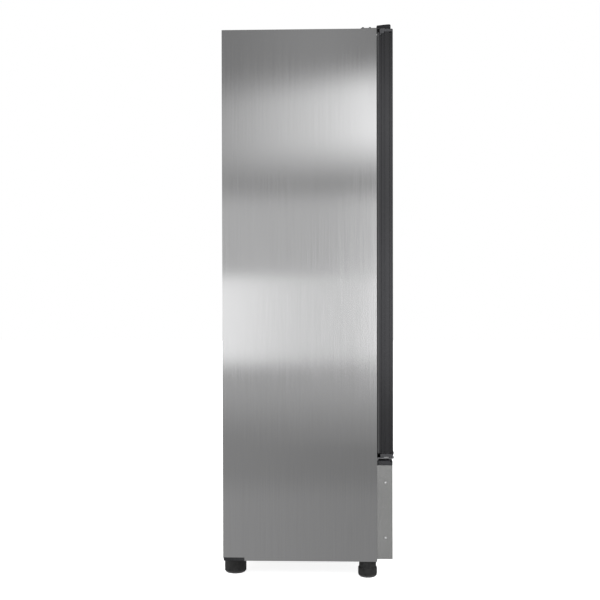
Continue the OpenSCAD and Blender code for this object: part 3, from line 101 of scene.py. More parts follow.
def noiseOf(tree, point, detail=2.0, roughness=0.5):
    noise = tree.nodes.new("ShaderNodeTexNoise")
    noise.inputs["Scale"].default_value = 1.0
    noise.inputs["Detail"].default_value = detail
    noise.inputs["Roughness"].default_value = roughness
    link(tree, point, noise.inputs["Vector"])
    return noise.outputs["Fac"]


def remap(tree, value, source, target):
    ranged = tree.nodes.new("ShaderNodeMapRange")
    ranged.inputs["From Min"].default_value, ranged.inputs["From Max"].default_value = source
    ranged.inputs["To Min"].default_value, ranged.inputs["To Max"].default_value = target
    link(tree, value, ranged.inputs["Value"])
    return ranged.outputs["Result"]


def mathOf(tree, operation, a, b):
    node = tree.nodes.new("ShaderNodeMath")
    node.operation = operation
    for socket, value in zip(node.inputs, (a, b)):
        if isinstance(value, (int, float)):
            socket.default_value = value
        else:
            link(tree, value, socket)
    return node.outputs["Value"]


def mixColour(tree, factor, a, b):
    mix = tree.nodes.new("ShaderNodeMix")
    mix.data_type = "RGBA"
    for socket, value in ((mix.inputs[0], factor), (mix.inputs[6], a), (mix.inputs[7], b)):
        if isinstance(value, bpy.types.NodeSocket):
            link(tree, value, socket)
        else:
            socket.default_value = (*value, 1.0) if isinstance(value, tuple) else value
    return mix.outputs[2]


def bumpOf(tree, height, depth):
    bump = tree.nodes.new("ShaderNodeBump")
    bump.inputs["Distance"].default_value = depth
    bump.inputs["Strength"].default_value = 1.0
    link(tree, height, bump.inputs["Height"])
    return bump.outputs["Normal"]


def objectAxes(tree):
    # Object coordinates in metres, one socket for each axis
    source = tree.nodes.new("ShaderNodeTexCoord")
    parts = tree.nodes.new("ShaderNodeSeparateXYZ")
    link(tree, source.outputs["Object"], parts.inputs[0])
    return parts.outputs


def newMaterial(name, **sockets):
    # sockets are names and values on the shader itself, with an underscore for each space
    material = bpy.data.materials.new(name)
    material.use_nodes = True
    shader = material.node_tree.nodes["Principled BSDF"]
    for socket, value in sockets.items():
        shader.inputs[socket.replace("_", " ")].default_value = value
    return material, material.node_tree, shader


# How the noise of the plain finishes is read: detail and roughness of the patches, and the part of
# each noise's range that is used
noiseUse = {
    "patchDetail": 4.0,
    "patchRoughness": 0.6,
    "patchRange": (0.35, 0.65),
    "grainRange": (0.3, 0.7),
}


def makeFinish(name, look):
    # Patches vary the colour; a finer grain varies the roughness and lifts the surface
    material, tree, shader = newMaterial(name, **look.get("sockets", {}))
    cell = objectPoint(tree, look["patch"])
    patch = noiseOf(tree, cell, noiseUse["patchDetail"], noiseUse["patchRoughness"])
    patch = remap(tree, patch, noiseUse["patchRange"], (0, 1))
    link(tree, mixColour(tree, patch, look["colour"], look["tint"]), shader.inputs["Base Color"])
    grain = noiseOf(tree, objectPoint(tree, look["grain"]))
    link(tree, remap(tree, grain, noiseUse["grainRange"], look["rough"]), shader.inputs["Roughness"])
    link(tree, bumpOf(tree, grain, look["lift"]), shader.inputs["Normal"])
    return material


# Brushed stainless sheet. Grain runs along Z: streaks of three widths, each with its share, and faint
# wipe marks that dull it.
steelLook = {
    "dark": (0.685, 0.686, 0.690),
    "light": (0.745, 0.746, 0.752),
    "streaks": [
        ((0.0022, 0.0022, 0.5), 0.3),
        ((0.0010, 0.0010, 0.22), 0.4),
        ((0.0004, 0.0004, 0.07), 0.3),
    ],
    "streakDetail": 1.0,
    "streakRange": (0.36, 0.64),
    "wipe": (0.03, 0.05, 0.3),
    "wipeDetail": 3.0,
    "wipeRange": (0.5, 0.75),
    "wipeDulls": 0.25,
    "rough": (0.11, 0.17),
    "lift": 0.000006,
    "anisotropic": 0.9,
}


def makeSteel(name, look):
    material, tree, shader = newMaterial(name, Metallic=1.0, Anisotropic=look["anisotropic"])
    total = None
    for cell, share in look["streaks"]:
        streak = noiseOf(tree, objectPoint(tree, cell), look["streakDetail"])
        streak = mathOf(tree, "MULTIPLY", streak, share)
        total = streak if total is None else mathOf(tree, "ADD", total, streak)
    wipe = noiseOf(tree, objectPoint(tree, look["wipe"]), look["wipeDetail"])
    wipe = remap(tree, wipe, look["wipeRange"], (0, look["wipeDulls"]))
    tone = remap(tree, total, look["streakRange"], (0, 1))
    link(tree, mixColour(tree, tone, look["dark"], look["light"]), shader.inputs["Base Color"])
    rough = remap(tree, mathOf(tree, "ADD", tone, wipe), (0, 1 + look["wipeDulls"]), look["rough"])
    link(tree, rough, shader.inputs["Roughness"])
    link(tree, bumpOf(tree, total, look["lift"]), shader.inputs["Normal"])
    return material


# Screws: bright ones, and blackened ones above a height, which are those of the top hinge
screwLook = {
    "metallic": 0.6,
    "blackAbove": 1.95,
    "bright": (0.93, 0.93, 0.94),
    "shade": 0.9,
    "black": (0.08, 0.08, 0.084),
    "grain": (0.0012, 0.0012, 0.0012),
    "rough": (0.14, 0.26),
}


def makeScrewSteel(name, look):
    material, tree, shader = newMaterial(name, Metallic=look["metallic"])
    above = mathOf(tree, "GREATER_THAN", objectAxes(tree)["Z"], look["blackAbove"])
    grain = noiseOf(tree, objectPoint(tree, look["grain"]))
    bright = mixColour(tree, grain, look["bright"], tuple(look["shade"] * c for c in look["bright"]))
    link(tree, mixColour(tree, above, bright, look["black"]), shader.inputs["Base Color"])
    link(tree, remap(tree, grain, noiseUse["grainRange"], look["rough"]), shader.inputs["Roughness"])
    return material


# Clear panes with a trace of haze
glassLook = {
    "colour": (0.965, 0.98, 0.975),
    "brightest": 1.03,
    "haze": (0.4, 0.4, 0.5),
    "hazeDetail": 3.0,
    "hazeRange": (0.45, 0.8),
    "rough": (0.0, 0.03),
}


def makeGlass(name, look):
    material, tree, shader = newMaterial(name, Transmission_Weight=1.0, IOR=1.5, Roughness=0.0)
    haze = noiseOf(tree, objectPoint(tree, look["haze"]), look["hazeDetail"])
    pale = tuple(min(1.0, c * look["brightest"]) for c in look["colour"])
    link(tree, mixColour(tree, haze, look["colour"], pale), shader.inputs["Base Color"])
    link(tree, remap(tree, haze, look["hazeRange"], look["rough"]), shader.inputs["Roughness"])
    return material


# Plain finishes. patch and grain are the sizes of one noise cell in metres along X, Y and Z, lift is
# the height of the grain in metres, and sockets are values on the shader itself.
finishes = {
    "galvanisedSheet": {
        "colour": (0.56, 0.57, 0.58), "tint": (0.61, 0.62, 0.63), "patch": (0.009, 0.009, 0.009),
        "rough": (0.34, 0.44), "grain": (0.006, 0.006, 0.006), "lift": 0.00001,
        "sockets": {"Metallic": 0.85}},
    "yellowFoam": {
        "colour": (0.78, 0.70, 0.47), "tint": (0.86, 0.79, 0.58), "patch": (0.05, 0.05, 0.05),
        "rough": (0.8, 0.95), "grain": (0.002, 0.002, 0.002), "lift": 0.0003},
    "whiteEnamel": {
        "colour": (0.80, 0.80, 0.79), "tint": (0.84, 0.84, 0.83), "patch": (0.3, 0.3, 0.3),
        "rough": (0.22, 0.34), "grain": (0.004, 0.004, 0.004), "lift": 0.00003},
    "whitePlastic": {
        "colour": (0.76, 0.76, 0.75), "tint": (0.81, 0.81, 0.80), "patch": (0.1, 0.1, 0.1),
        "rough": (0.38, 0.5), "grain": (0.0015, 0.0015, 0.0015), "lift": 0.00004},
    "coverGrey": {
        "colour": (0.475, 0.475, 0.468), "tint": (0.505, 0.505, 0.498), "patch": (0.12, 0.12, 0.12),
        "rough": (0.2, 0.28), "grain": (0.0012, 0.0012, 0.0012), "lift": 0.00001,
        "sockets": {"Metallic": 0.75}},
    "blackExtrusion": {
        "colour": (0.073, 0.073, 0.077), "tint": (0.080, 0.080, 0.084), "patch": (0.2, 0.2, 0.2),
        "rough": (0.22, 0.28), "grain": (0.0007, 0.0007, 0.0007), "lift": 0.000004,
        "sockets": {"Metallic": 0.92}},
    "greyCap": {
        "colour": (0.052, 0.052, 0.056), "tint": (0.066, 0.066, 0.070), "patch": (0.02, 0.02, 0.02),
        "rough": (0.42, 0.55), "grain": (0.0009, 0.0009, 0.0009), "lift": 0.00005,
        "sockets": {"Specular_IOR_Level": 0.35}},
    "blackTrim": {
        "colour": (0.012, 0.012, 0.013), "tint": (0.018, 0.018, 0.020), "patch": (0.05, 0.05, 0.05),
        "rough": (0.38, 0.52), "grain": (0.0009, 0.0009, 0.0009), "lift": 0.00005,
        "sockets": {"Specular_IOR_Level": 0.25}},
    "sealRubber": {
        "colour": (0.034, 0.034, 0.036), "tint": (0.046, 0.046, 0.048), "patch": (0.04, 0.04, 0.12),
        "rough": (0.3, 0.42), "grain": (0.001, 0.001, 0.001), "lift": 0.00002,
        "sockets": {"Specular_IOR_Level": 1.0}},
    "hingeSteel": {
        "colour": (0.26, 0.26, 0.27), "tint": (0.36, 0.36, 0.37), "patch": (0.01, 0.01, 0.01),
        "rough": (0.3, 0.45), "grain": (0.0012, 0.0012, 0.0012), "lift": 0.00003,
        "sockets": {"Metallic": 0.9}},
    "brightScrew": {
        "colour": (0.70, 0.70, 0.71), "tint": (0.82, 0.82, 0.83), "patch": (0.003, 0.003, 0.003),
        "rough": (0.16, 0.3), "grain": (0.0006, 0.0006, 0.0006), "lift": 0.00001,
        "sockets": {"Metallic": 1.0}},
    "epoxyWire": {
        "colour": (0.78, 0.78, 0.78), "tint": (0.83, 0.83, 0.83), "patch": (0.05, 0.05, 0.05),
        "rough": (0.2, 0.34), "grain": (0.003, 0.003, 0.003), "lift": 0.00006},
    "anodisedAluminium": {
        "colour": (0.72, 0.73, 0.74), "tint": (0.79, 0.80, 0.81), "patch": (0.4, 0.02, 0.02),
        "rough": (0.26, 0.36), "grain": (0.05, 0.0006, 0.0006), "lift": 0.00001,
        "sockets": {"Metallic": 1.0}},
    "finAluminium": {
        "colour": (0.62, 0.63, 0.64), "tint": (0.78, 0.79, 0.80), "patch": (0.01, 0.03, 0.03),
        "rough": (0.3, 0.48), "grain": (0.002, 0.004, 0.004), "lift": 0.00004,
        "sockets": {"Metallic": 0.95}},
    "blackPaint": {
        "colour": (0.018, 0.018, 0.02), "tint": (0.028, 0.028, 0.03), "patch": (0.05, 0.05, 0.05),
        "rough": (0.22, 0.36), "grain": (0.003, 0.003, 0.003), "lift": 0.00006},
    "fanPlastic": {
        "colour": (0.03, 0.03, 0.033), "tint": (0.042, 0.042, 0.046), "patch": (0.04, 0.04, 0.04),
        "rough": (0.36, 0.48), "grain": (0.001, 0.001, 0.001), "lift": 0.00003},
    "blackRubber": {
        "colour": (0.014, 0.014, 0.014), "tint": (0.03, 0.03, 0.029), "patch": (0.012, 0.012, 0.012),
        "rough": (0.46, 0.66), "grain": (0.0011, 0.0011, 0.0011), "lift": 0.0001},
    "copperTube": {
        "colour": (0.75, 0.40, 0.26), "tint": (0.50, 0.26, 0.17), "patch": (0.02, 0.02, 0.05),
        "rough": (0.2, 0.42), "grain": (0.004, 0.004, 0.02), "lift": 0.00002,
        "sockets": {"Metallic": 1.0}},
    "paleHose": {
        "colour": (0.70, 0.70, 0.67), "tint": (0.76, 0.76, 0.73), "patch": (0.03, 0.03, 0.08),
        "rough": (0.4, 0.52), "grain": (0.002, 0.002, 0.002), "lift": 0.00004},
    "smokedWindow": {
        "colour": (0.012, 0.004, 0.004), "tint": (0.018, 0.005, 0.005), "patch": (0.02, 0.02, 0.02),
        "rough": (0.04, 0.09), "grain": (0.004, 0.004, 0.004), "lift": 0.000002,
        "sockets": {"Coat_Weight": 0.5, "Coat_Roughness": 0.03}},
    "greyKey": {
        "colour": (0.44, 0.45, 0.46), "tint": (0.49, 0.50, 0.51), "patch": (0.004, 0.004, 0.004),
        "rough": (0.4, 0.52), "grain": (0.0005, 0.0005, 0.0005), "lift": 0.00002},
    "opalLens": {
        "colour": (0.90, 0.91, 0.92), "tint": (0.94, 0.95, 0.96), "patch": (0.06, 0.02, 0.02),
        "rough": (0.35, 0.45), "grain": (0.03, 0.0015, 0.0015), "lift": 0.00002,
        "sockets": {"Emission_Color": (1.0, 0.985, 0.96, 1.0), "Emission_Strength": 0.5}},
    "litDigit": {
        "colour": (0.9, 0.10, 0.06), "tint": (0.95, 0.14, 0.08), "patch": (0.002, 0.002, 0.002),
        "rough": (0.3, 0.4), "grain": (0.0005, 0.0005, 0.0005), "lift": 0.000002,
        "sockets": {"Emission_Color": (1.0, 0.09, 0.05, 1.0), "Emission_Strength": 1.2}},
    "darkDigit": {
        "colour": (0.045, 0.012, 0.012), "tint": (0.055, 0.014, 0.014), "patch": (0.002, 0.002, 0.002),
        "rough": (0.3, 0.4), "grain": (0.0005, 0.0005, 0.0005), "lift": 0.000002},
}

materials = {name: makeFinish(name, look) for name, look in finishes.items()}
materials["brushedSteel"] = makeSteel("brushedSteel", steelLook)
materials["screwSteel"] = makeScrewSteel("screwSteel", screwLook)
materials["clearGlass"] = makeGlass("clearGlass", glassLook)
print("stage: materials,", len(materials))

wearing = {
    "brushedSteel": ["left_side_panel", "right_side_panel", "top_panel", "front_sill"],
    "galvanisedSheet": ["back_panel", "cover_brackets", "electrical_box"],
    "yellowFoam": ["insulation_foam"],
    "whiteEnamel": ["inner_liner", "shelf_pilasters", "evaporator_housing"],
    "whitePlastic": ["breaker_frame", "drain_tray", "hinge_bushings"],
    "coverGrey": ["lower_front_cover"],
    "blackExtrusion": ["hinge_stile", "handle_stile", "door_rails"],
    "greyCap": ["door_end_caps"],
    "blackTrim": ["rear_grille", "top_hinge_cover", "condenser_shroud", "evaporation_pan",
                  "power_inlet", "controller_housing", "lamp_switch", "corner_keys"],
    "sealRubber": ["door_gasket"],
    "hingeSteel": ["top_hinge_bracket", "bottom_hinge_bracket"],
    "screwSteel": ["cabinet_screws"],
    "brightScrew": ["shelf_clips", "closing_rod"],
    "epoxyWire": ["wire_shelves", "fan_guards"],
    "anodisedAluminium": ["lamp_housing", "glass_spacer"],
    "opalLens": ["lamp_diffuser"],
    "finAluminium": ["evaporator_coil"],
    "blackPaint": ["base_pan", "fan_motors", "compressor", "condenser_coil"],
    "fanPlastic": ["evaporator_fan_left", "evaporator_fan_right", "condenser_fan", "trim_bar"],
    "blackRubber": ["compressor_grommets", "rear_feet", "front_foot_sockets", "front_foot_left",
                    "front_foot_right"],
    "copperTube": ["refrigerant_lines"],
    "paleHose": ["drain_hose"],
    "smokedWindow": ["controller_display"],
    "greyKey": ["button_down", "button_up", "button_set"],
    "clearGlass": ["outer_glass", "inner_glass"],
}


def wear(piece, material):
    piece.data.materials.clear()
    piece.data.materials.append(materials[material])


for material, names in wearing.items():
    for name in names:
        wear(nodes[name], material)
for name in wearing["clearGlass"]:
    # The lamps' light goes through the panes to the inside
    nodes[name].visible_shadow = False
undressed = set(nodes) - {name for names in wearing.values() for name in names}
print("stage: nodes dressed, left plain:", sorted(undressed))


# Meshes

def meshPiece(name, points, faces, body, material):
    mesh = bpy.data.meshes.new(name)
    mesh.from_pydata(points.tolist(), [], faces)
    work = bmesh.new()
    work.from_mesh(mesh)
    bmesh.ops.recalc_face_normals(work, faces=work.faces)
    work.to_mesh(mesh)
    work.free()
    piece = bpy.data.objects.new(name, mesh)
    scene.collection.objects.link(piece)
    wear(piece, material)
    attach(piece, body)
    return piece


def ringPiece(name, profile, edge, back, body, material):
    # profile is [inward from the frame's outer edge, forward from its back]; it is carried round
    # the rectangle edge = (half width, lower z, upper z), mitred at the four corners
    halfWidth, low, high = edge
    inward, forward = np.array(profile, float).T * mm
    sideX = np.array([-1, 1, 1, -1])[:, None]
    x = sideX * (halfWidth - inward[None, :])
    z = np.where(np.array([0, 0, 1, 1])[:, None] == 0, low + inward[None, :], high - inward[None, :])
    y = np.broadcast_to(back - forward[None, :], x.shape)
    points = np.stack([x, y, z], axis=-1).reshape(-1, 3)
    count = len(inward)
    corner, step = np.meshgrid(np.arange(4), np.arange(count), indexing="ij")
    here, there = corner * count, (corner + 1) % 4 * count
    after = (step + 1) % count
    faces = np.stack([here + step, here + after, there + after, there + step], axis=-1).reshape(-1, 4)
    return meshPiece(name, points, faces.tolist(), body, material)


def platePiece(name, outlines, near, far, body, material, axes=(0, 2, 1)):
    # Each outline is a loop in the plane of the first two axes; as a closed plate it stands between
    # near and far on the third
    points, faces, start = [], [], 0
    for outline in outlines:
        outline = np.asarray(outline, float)
        count = len(outline)
        for level in (near, far):
            layer = np.full((count, 3), float(level))
            layer[:, axes[0]], layer[:, axes[1]] = outline[:, 0], outline[:, 1]
            points.append(layer)
        index = np.arange(count)
        after = (index + 1) % count
        sides = np.stack([index, after, after + count, index + count], axis=-1) + start
        faces += sides.tolist() + [(index + start).tolist(), (index[::-1] + count + start).tolist()]
        start += 2 * count
    return meshPiece(name, np.concatenate(points), faces, body, material)


def turnedPiece(name, profile, centres, body, material, sides=32):
    # profile is (radius, height) from the rim inwards; it is turned about Z at each centre
    radius, height = np.array(profile, float).T * mm
    turn = np.linspace(0, 2 * math.pi, sides, endpoint=False)[:, None]
    level = np.broadcast_to(height, (sides, len(height)))
    ring = np.stack([radius * np.cos(turn), radius * np.sin(turn), level], axis=-1).reshape(-1, 3)
    count = len(height)
    side, step = np.meshgrid(np.arange(sides), np.arange(count - 1), indexing="ij")
    here, there = side * count + step, (side + 1) % sides * count + step
    quads = np.stack([here, there, there + 1, here + 1], axis=-1).reshape(-1, 4)
    points = np.concatenate([ring + np.array(centre) for centre in centres])
    faces = np.concatenate([quads + k * sides * count for k in range(len(centres))])
    return meshPiece(name, points, faces.tolist(), body, material)


# Glazing beads: soft lips that close the joint between the frame and the two panes
beadProfile = [(61.8, 0.02), (65.2, 0.02), (65.0, 0.8), (63.6, 2.0), (62.4, 2.9), (61.8, 3.1)]
stileLow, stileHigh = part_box("hinge_stile")
frameEdge = (-stileLow.x, stileLow.z, stileHigh.z)
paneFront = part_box("outer_glass")[0].y
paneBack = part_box("inner_glass")[1].y
for name, pane, side in (("glazingBeadFront", paneFront, 1), ("glazingBeadBack", paneBack, -1)):
    outline = [(inward, side * forward) for inward, forward in beadProfile]
    ringPiece(name, outline, frameEdge, pane, "door", "blackRubber")

# The gasket's outer fin, a soft lip near the door's edge that covers the joint with the cabinet
finProfile = [(2.0, -0.05), (5.0, -0.05), (4.4, -3.0), (4.3, -5.8), (3.0, -5.8), (2.6, -3.0)]
ringPiece("gasketFin", finProfile, frameEdge, stileHigh.y, "door", "sealRubber")
print("stage: glazing beads and gasket fin")

# Domed heads of the hinge plate's outer screws, with a socket
dome = {
    "profile": [(4.6, -0.2), (4.6, 1.6), (4.3, 2.8), (3.6, 3.8), (2.6, 4.4), (2.0, 4.5), (1.7, 3.2),
                (0.01, 3.1)],
    "fromLeft": 11.5 * mm,
    "fromFront": [49 * mm, 24 * mm],
}
low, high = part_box("left_side_panel")
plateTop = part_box("top_hinge_bracket")[1].z
domeCentres = [(low.x + dome["fromLeft"], low.y + y, plateTop) for y in dome["fromFront"]]
turnedPiece("hingeScrewDomes", dome["profile"], domeCentres, "cabinet", "screwSteel")

# End plugs of the trim bar, set in a little from its open ends
plug = {
    "inset": 1.5 * mm,
    "thick": 3 * mm,
    "wall": 2.6 * mm,
    "bead": 11.2 * mm,
    "beadFoot": 8.8 * mm,
    "height": 12.4 * mm,
    "leg": 6 * mm,
}
low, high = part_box("trim_bar")
front, back, foot = low.y + plug["wall"], high.y - plug["leg"], low.z + plug["wall"]
step, rise, top = low.y + plug["bead"], low.z + plug["beadFoot"], low.z + plug["height"]
plugOutline = [(front, foot), (back, foot), (back, top), (step, top), (step, rise), (front, rise)]
for side, outer, label in ((1, low.x, "Left"), (-1, high.x, "Right")):
    near = outer + side * plug["inset"]
    platePiece("trimPlug" + label, [plugOutline], near, near + side * plug["thick"],
               "cabinet", "fanPlastic", (1, 2, 0))
print("stage: screw domes and trim plugs")


# Display: three figures of seven bars each, and a point after the second. A bar is a flat six-sided
# outline.
display = {
    "shown": " 40",
    "figureHeight": 22 * mm,
    "figureWidth": 11.5 * mm,
    "figurePitch": 19 * mm,
    "barWidth": 2.0 * mm,
    "barGap": 0.25 * mm,
    "lean": 0.05,
    "litLift": 0.25 * mm,
    "darkLift": 0.15 * mm,
    "pointSize": 1.3 * mm,
    "pointSides": 12,
}
figureBars = {"4": "bcfg", "0": "abcdef", " ": ""}


def barOutline(centre, length, look, upright):
    # Six corners: the bar's length less a gap at each end, drawn to a point at both ends
    half, w = length / 2 - look["barGap"], look["barWidth"] / 2
    along = np.array([-half, -half + w, half - w, half, half - w, -half + w])
    across = np.array([0, w, w, 0, -w, -w])
    shape = np.stack([across, along] if upright else [along, across], axis=-1)
    return shape + np.array(centre)


def figureOutlines(centre, look):
    # Seven bars, a to f clockwise from the top and g in the middle, each leant over by its height
    h, w = look["figureHeight"], look["figureWidth"]
    places = {
        "a": (0, h / 2, False), "g": (0, 0, False), "d": (0, -h / 2, False),
        "f": (-w / 2, h / 4, True), "b": (w / 2, h / 4, True),
        "e": (-w / 2, -h / 4, True), "c": (w / 2, -h / 4, True),
    }
    outlines = {}
    for key, (x, z, upright) in places.items():
        outline = barOutline((x, z), h / 2 if upright else w, look, upright)
        outline[:, 0] += look["lean"] * outline[:, 1]
        outlines[key] = outline + np.array(centre)
    return outlines


low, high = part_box("controller_display")
middle = (low + high) / 2
lit, dark = [], []
for place, figure in enumerate(display["shown"]):
    centre = (middle.x + (place - 1) * display["figurePitch"], middle.z)
    for key, outline in figureOutlines(centre, display).items():
        (lit if key in figureBars[figure] else dark).append(outline)
corner = np.linspace(0, 2 * math.pi, display["pointSides"], endpoint=False)
pointCentre = np.array([middle.x + display["figurePitch"] / 2, middle.z - display["figureHeight"] / 2])
lit.append(pointCentre + display["pointSize"] * np.stack([np.cos(corner), np.sin(corner)], axis=-1))
for name, outlines, lift, material in (("displayLit", lit, display["litLift"], "litDigit"),
                                       ("displayDark", dark, display["darkLift"], "darkDigit")):
    platePiece(name, outlines, low.y - lift, low.y, "cabinet", material)

# Marks on the three keys: a triangle down, a triangle up and a square
keyMark = {"size": 3.0 * mm, "lift": 0.12 * mm}
triangle = np.array([[-1, -0.8], [1, -0.8], [0, 0.9]])
square = np.array([[-0.8, -0.8], [0.8, -0.8], [0.8, 0.8], [-0.8, 0.8]])
for node, body, shape in (("button_down", "key_down", triangle * [1, -1]),
                          ("button_up", "key_up", triangle), ("button_set", "key_set", square)):
    low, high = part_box(node)
    centre = np.array([(low.x + high.x) / 2, (low.z + high.z) / 2])
    platePiece(node + "Mark", [centre + keyMark["size"] * shape], low.y - keyMark["lift"], low.y,
               body, "blackTrim")
print("stage: display and key marks")


# Studio: pale floor, white surroundings, soft lamps, and cards that only the gloss sees

def plainMaterial(name, build):
    material = bpy.data.materials.new(name)
    material.use_nodes = True
    tree = material.node_tree
    tree.nodes.clear()
    output = tree.nodes.new("ShaderNodeOutputMaterial")
    link(tree, build(tree), output.inputs["Surface"])
    return material


def stagePlane(name, corners, material):
    mesh = bpy.data.meshes.new(name)
    mesh.from_pydata(corners, [], [(0, 1, 2, 3)])
    plane = bpy.data.objects.new(name, mesh)
    mesh.materials.append(material)
    scene.collection.objects.link(plane)
    return plane


def seenRay(tree):
    # 1 on rays that show the background: straight from the camera, off a gloss or through glass.
    # Rays that have met a dull surface light the object, so they see the plain level.
    path = tree.nodes.new("ShaderNodeLightPath")
    through = mathOf(tree, "MAXIMUM", path.outputs["Is Glossy Ray"], path.outputs["Is Transmission Ray"])
    shown = mathOf(tree, "MAXIMUM", path.outputs["Is Camera Ray"], through)
    direct = mathOf(tree, "LESS_THAN", path.outputs["Diffuse Depth"], 0.5)
    return mathOf(tree, "MULTIPLY", shown, direct)


floorLook = {"half": 16.0, "colour": (0.80, 0.80, 0.80, 1.0), "seenGlow": 0.88}


def floorShader(tree):
    diffuse = tree.nodes.new("ShaderNodeBsdfDiffuse")
    diffuse.inputs["Color"].default_value = floorLook["colour"]
    glow = tree.nodes.new("ShaderNodeEmission")
    link(tree, mathOf(tree, "MULTIPLY", seenRay(tree), floorLook["seenGlow"]), glow.inputs["Strength"])
    both = tree.nodes.new("ShaderNodeAddShader")
    link(tree, diffuse.outputs[0], both.inputs[0])
    link(tree, glow.outputs[0], both.inputs[1])
    return both.outputs[0]


h = floorLook["half"]
floorCorners = [(-h, -h, 0), (h, -h, 0), (h, h, 0), (-h, h, 0)]
stagePlane("studioFloor", floorCorners, plainMaterial("studioFloor", floorShader))

# The wall card is a dim wall with soft boxes on it. Each box has a profile up the wall, as (height,
# share) pairs, and one from front to rear, as (y, brightness) pairs. lean tips it towards the front.
wallCard = {
    "x": 3.4,
    "halfWidth": 14.0,
    "top": 8.0,
    "base": 0.22,
    "boxes": [
        {"lean": 0.2, "up": [(2.28, 1), (2.50, 0)], "across": [(-0.5, 0.06), (0.8, 0.06)]},
        {"lean": 0.2, "up": [(2.40, 0), (2.62, 1)], "across": [(-0.5, 0.03), (0.0, 0.11), (0.7, 0.01)]},
        {"lean": 0.1, "up": [(1.68, 0), (2.08, 1), (2.30, 1), (2.585, 0)],
         "across": [(-0.8, 0.2), (-0.55, 1.05), (0.05, 0.48), (0.8, 0.13)]},
        {"lean": 0.0, "up": [(0.50, 0), (0.65, 1), (1.58, 1), (1.78, 0)],
         "across": [(-0.75, 0.3), (-0.5, 0.4), (-0.15, 0.25), (0.8, 0.27)]},
        {"lean": 0.0, "up": [(0.46, 0), (0.60, 1), (1.08, 1), (1.18, 0)],
         "across": [(-0.5, 0.06), (0.0, 0.2), (0.8, 0.58)]},
        {"lean": 0.0, "up": [(0.00, 0), (0.42, 1), (0.50, 1), (0.66, 0)],
         "across": [(-0.75, 0.1), (-0.5, 0.16), (0.0, 0.14), (0.8, 0.15)]},
        {"lean": 0.0, "up": [(0.20, 0), (0.70, 1), (1.02, 1), (1.4, 0.45), (2.1, 0.3), (2.4, 0)],
         "across": [(-1.3, 0), (-1.0, 2.2), (-0.75, 2.2), (-0.56, 0)]},
    ],
}
# The floor card brightens towards its far ends, where the white surroundings begin. out is the share
# at a distance from the middle plane.
floorCard = {
    "halfX": 3.4,
    "halfY": 14.0,
    "height": 0.008,
    "out": [(1.5, 1.0), (2.4, 0.84)],
    "across": [(-14.0, 1.0), (-4.0, 0.27), (-0.5, 0.27), (0.7, 0.335), (4.0, 0.335), (14.0, 1.0)],
}


def profileOf(tree, value, pairs):
    # A ramp through the pairs, level outside them
    first, last = pairs[0][0], pairs[-1][0]
    ramp = tree.nodes.new("ShaderNodeValToRGB")
    ramp.color_ramp.interpolation = "EASE"
    link(tree, remap(tree, value, (first, last), (0, 1)), ramp.inputs["Fac"])
    marks = ramp.color_ramp.elements
    marks[0].color = (pairs[0][1],) * 3 + (1.0,)
    marks[1].color = (pairs[-1][1],) * 3 + (1.0,)
    for place, level in pairs[1:-1]:
        marks.new((place - first) / (last - first)).color = (level, level, level, 1.0)
    return ramp.outputs["Color"]


def wallShader(tree):
    axes = objectAxes(tree)
    total = wallCard["base"]
    for box in wallCard["boxes"]:
        height = mathOf(tree, "ADD", axes["Z"], mathOf(tree, "MULTIPLY", axes["Y"], box["lean"]))
        up, across = profileOf(tree, height, box["up"]), profileOf(tree, axes["Y"], box["across"])
        total = mathOf(tree, "ADD", total, mathOf(tree, "MULTIPLY", up, across))
    glow = tree.nodes.new("ShaderNodeEmission")
    link(tree, total, glow.inputs["Strength"])
    return glow.outputs[0]


def floorCardShader(tree):
    axes = objectAxes(tree)
    out = profileOf(tree, mathOf(tree, "ABSOLUTE", axes["X"], 0), floorCard["out"])
    across = profileOf(tree, axes["Y"], floorCard["across"])
    glow = tree.nodes.new("ShaderNodeEmission")
    link(tree, mathOf(tree, "MULTIPLY", out, across), glow.inputs["Strength"])
    return glow.outputs[0]


def glossOnly(plane):
    plane.visible_camera = False
    plane.visible_diffuse = False
    plane.visible_transmission = False
    plane.visible_shadow = False
    plane.visible_volume_scatter = False


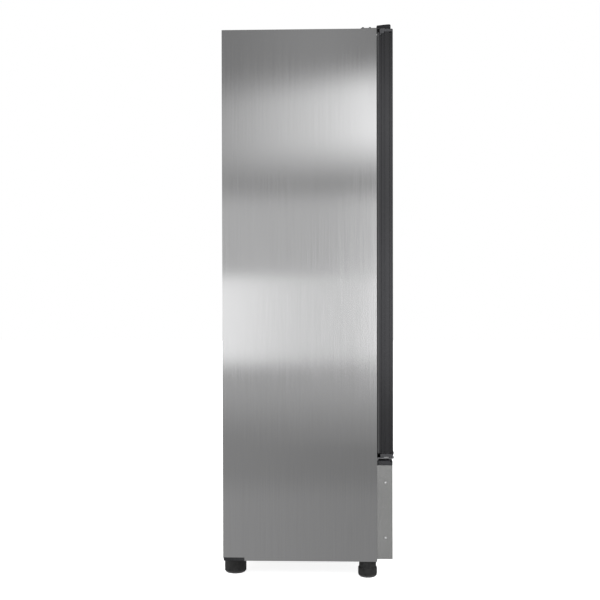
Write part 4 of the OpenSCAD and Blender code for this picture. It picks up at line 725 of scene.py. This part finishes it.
wallMaterial = plainMaterial("wallCard", wallShader)
for side, label in ((-1, "Left"), (1, "Right")):
    x, w, t = side * wallCard["x"], wallCard["halfWidth"], wallCard["top"]
    cardCorners = [(x, -w, 0), (x, w, 0), (x, w, t), (x, -w, t)]
    glossOnly(stagePlane("wallCard" + label, cardCorners, wallMaterial))
x, y, z = floorCard["halfX"], floorCard["halfY"], floorCard["height"]
cardCorners = [(-x, -y, z), (x, -y, z), (x, y, z), (-x, y, z)]
glossOnly(stagePlane("floorCard", cardCorners, plainMaterial("floorCard", floorCardShader)))

# The world lights the object at a plain level and shows white as the background
worldLook = {
    "lights": {"Color": (0.97, 0.985, 1.0, 1.0), "Strength": 0.62},
    "shows": {"Color": (1.0, 1.0, 1.0, 1.0), "Strength": 1.0},
}
world = bpy.data.worlds.new("studioWorld")
scene.world = world
world.use_nodes = True
tree = world.node_tree
tree.nodes.clear()
choice = tree.nodes.new("ShaderNodeMixShader")
link(tree, seenRay(tree), choice.inputs["Fac"])
for place, look in enumerate((worldLook["lights"], worldLook["shows"]), start=1):
    background = tree.nodes.new("ShaderNodeBackground")
    for socket, value in look.items():
        background.inputs[socket].default_value = value
    link(tree, background.outputs[0], choice.inputs[place])
output = tree.nodes.new("ShaderNodeOutputWorld")
link(tree, choice.outputs[0], output.inputs["Surface"])

# Every lamp is a square that faces the middle of the part
lampTarget = Vector((0, 0, 1.0))
lamps = [
    {"name": "keyLamp", "place": (-2.6, -2.4, 3.2), "size": 1.8, "power": 70},
    {"name": "sideLamp", "place": (-3.0, 2.0, 2.6), "size": 1.8, "power": 45},
    {"name": "frontLamp", "place": (1.6, -3.6, 2.8), "size": 1.6, "power": 55},
    {"name": "backLamp", "place": (2.2, 3.2, 2.8), "size": 1.8, "power": 45},
]
for lamp in lamps:
    data = bpy.data.lights.new(lamp["name"], "AREA")
    data.shape = "SQUARE"
    data.size = lamp["size"]
    data.energy = lamp["power"]
    light = bpy.data.objects.new(lamp["name"], data)
    scene.collection.objects.link(light)
    light.location = Vector(lamp["place"])
    light.rotation_euler = (lampTarget - light.location).to_track_quat("-Z", "Y").to_euler()
    # The lamps light the object but aren't mirrored in it, nor in the panes' inner faces
    light.visible_glossy = False
    light.visible_transmission = False
    light.visible_camera = False
print("stage: studio")
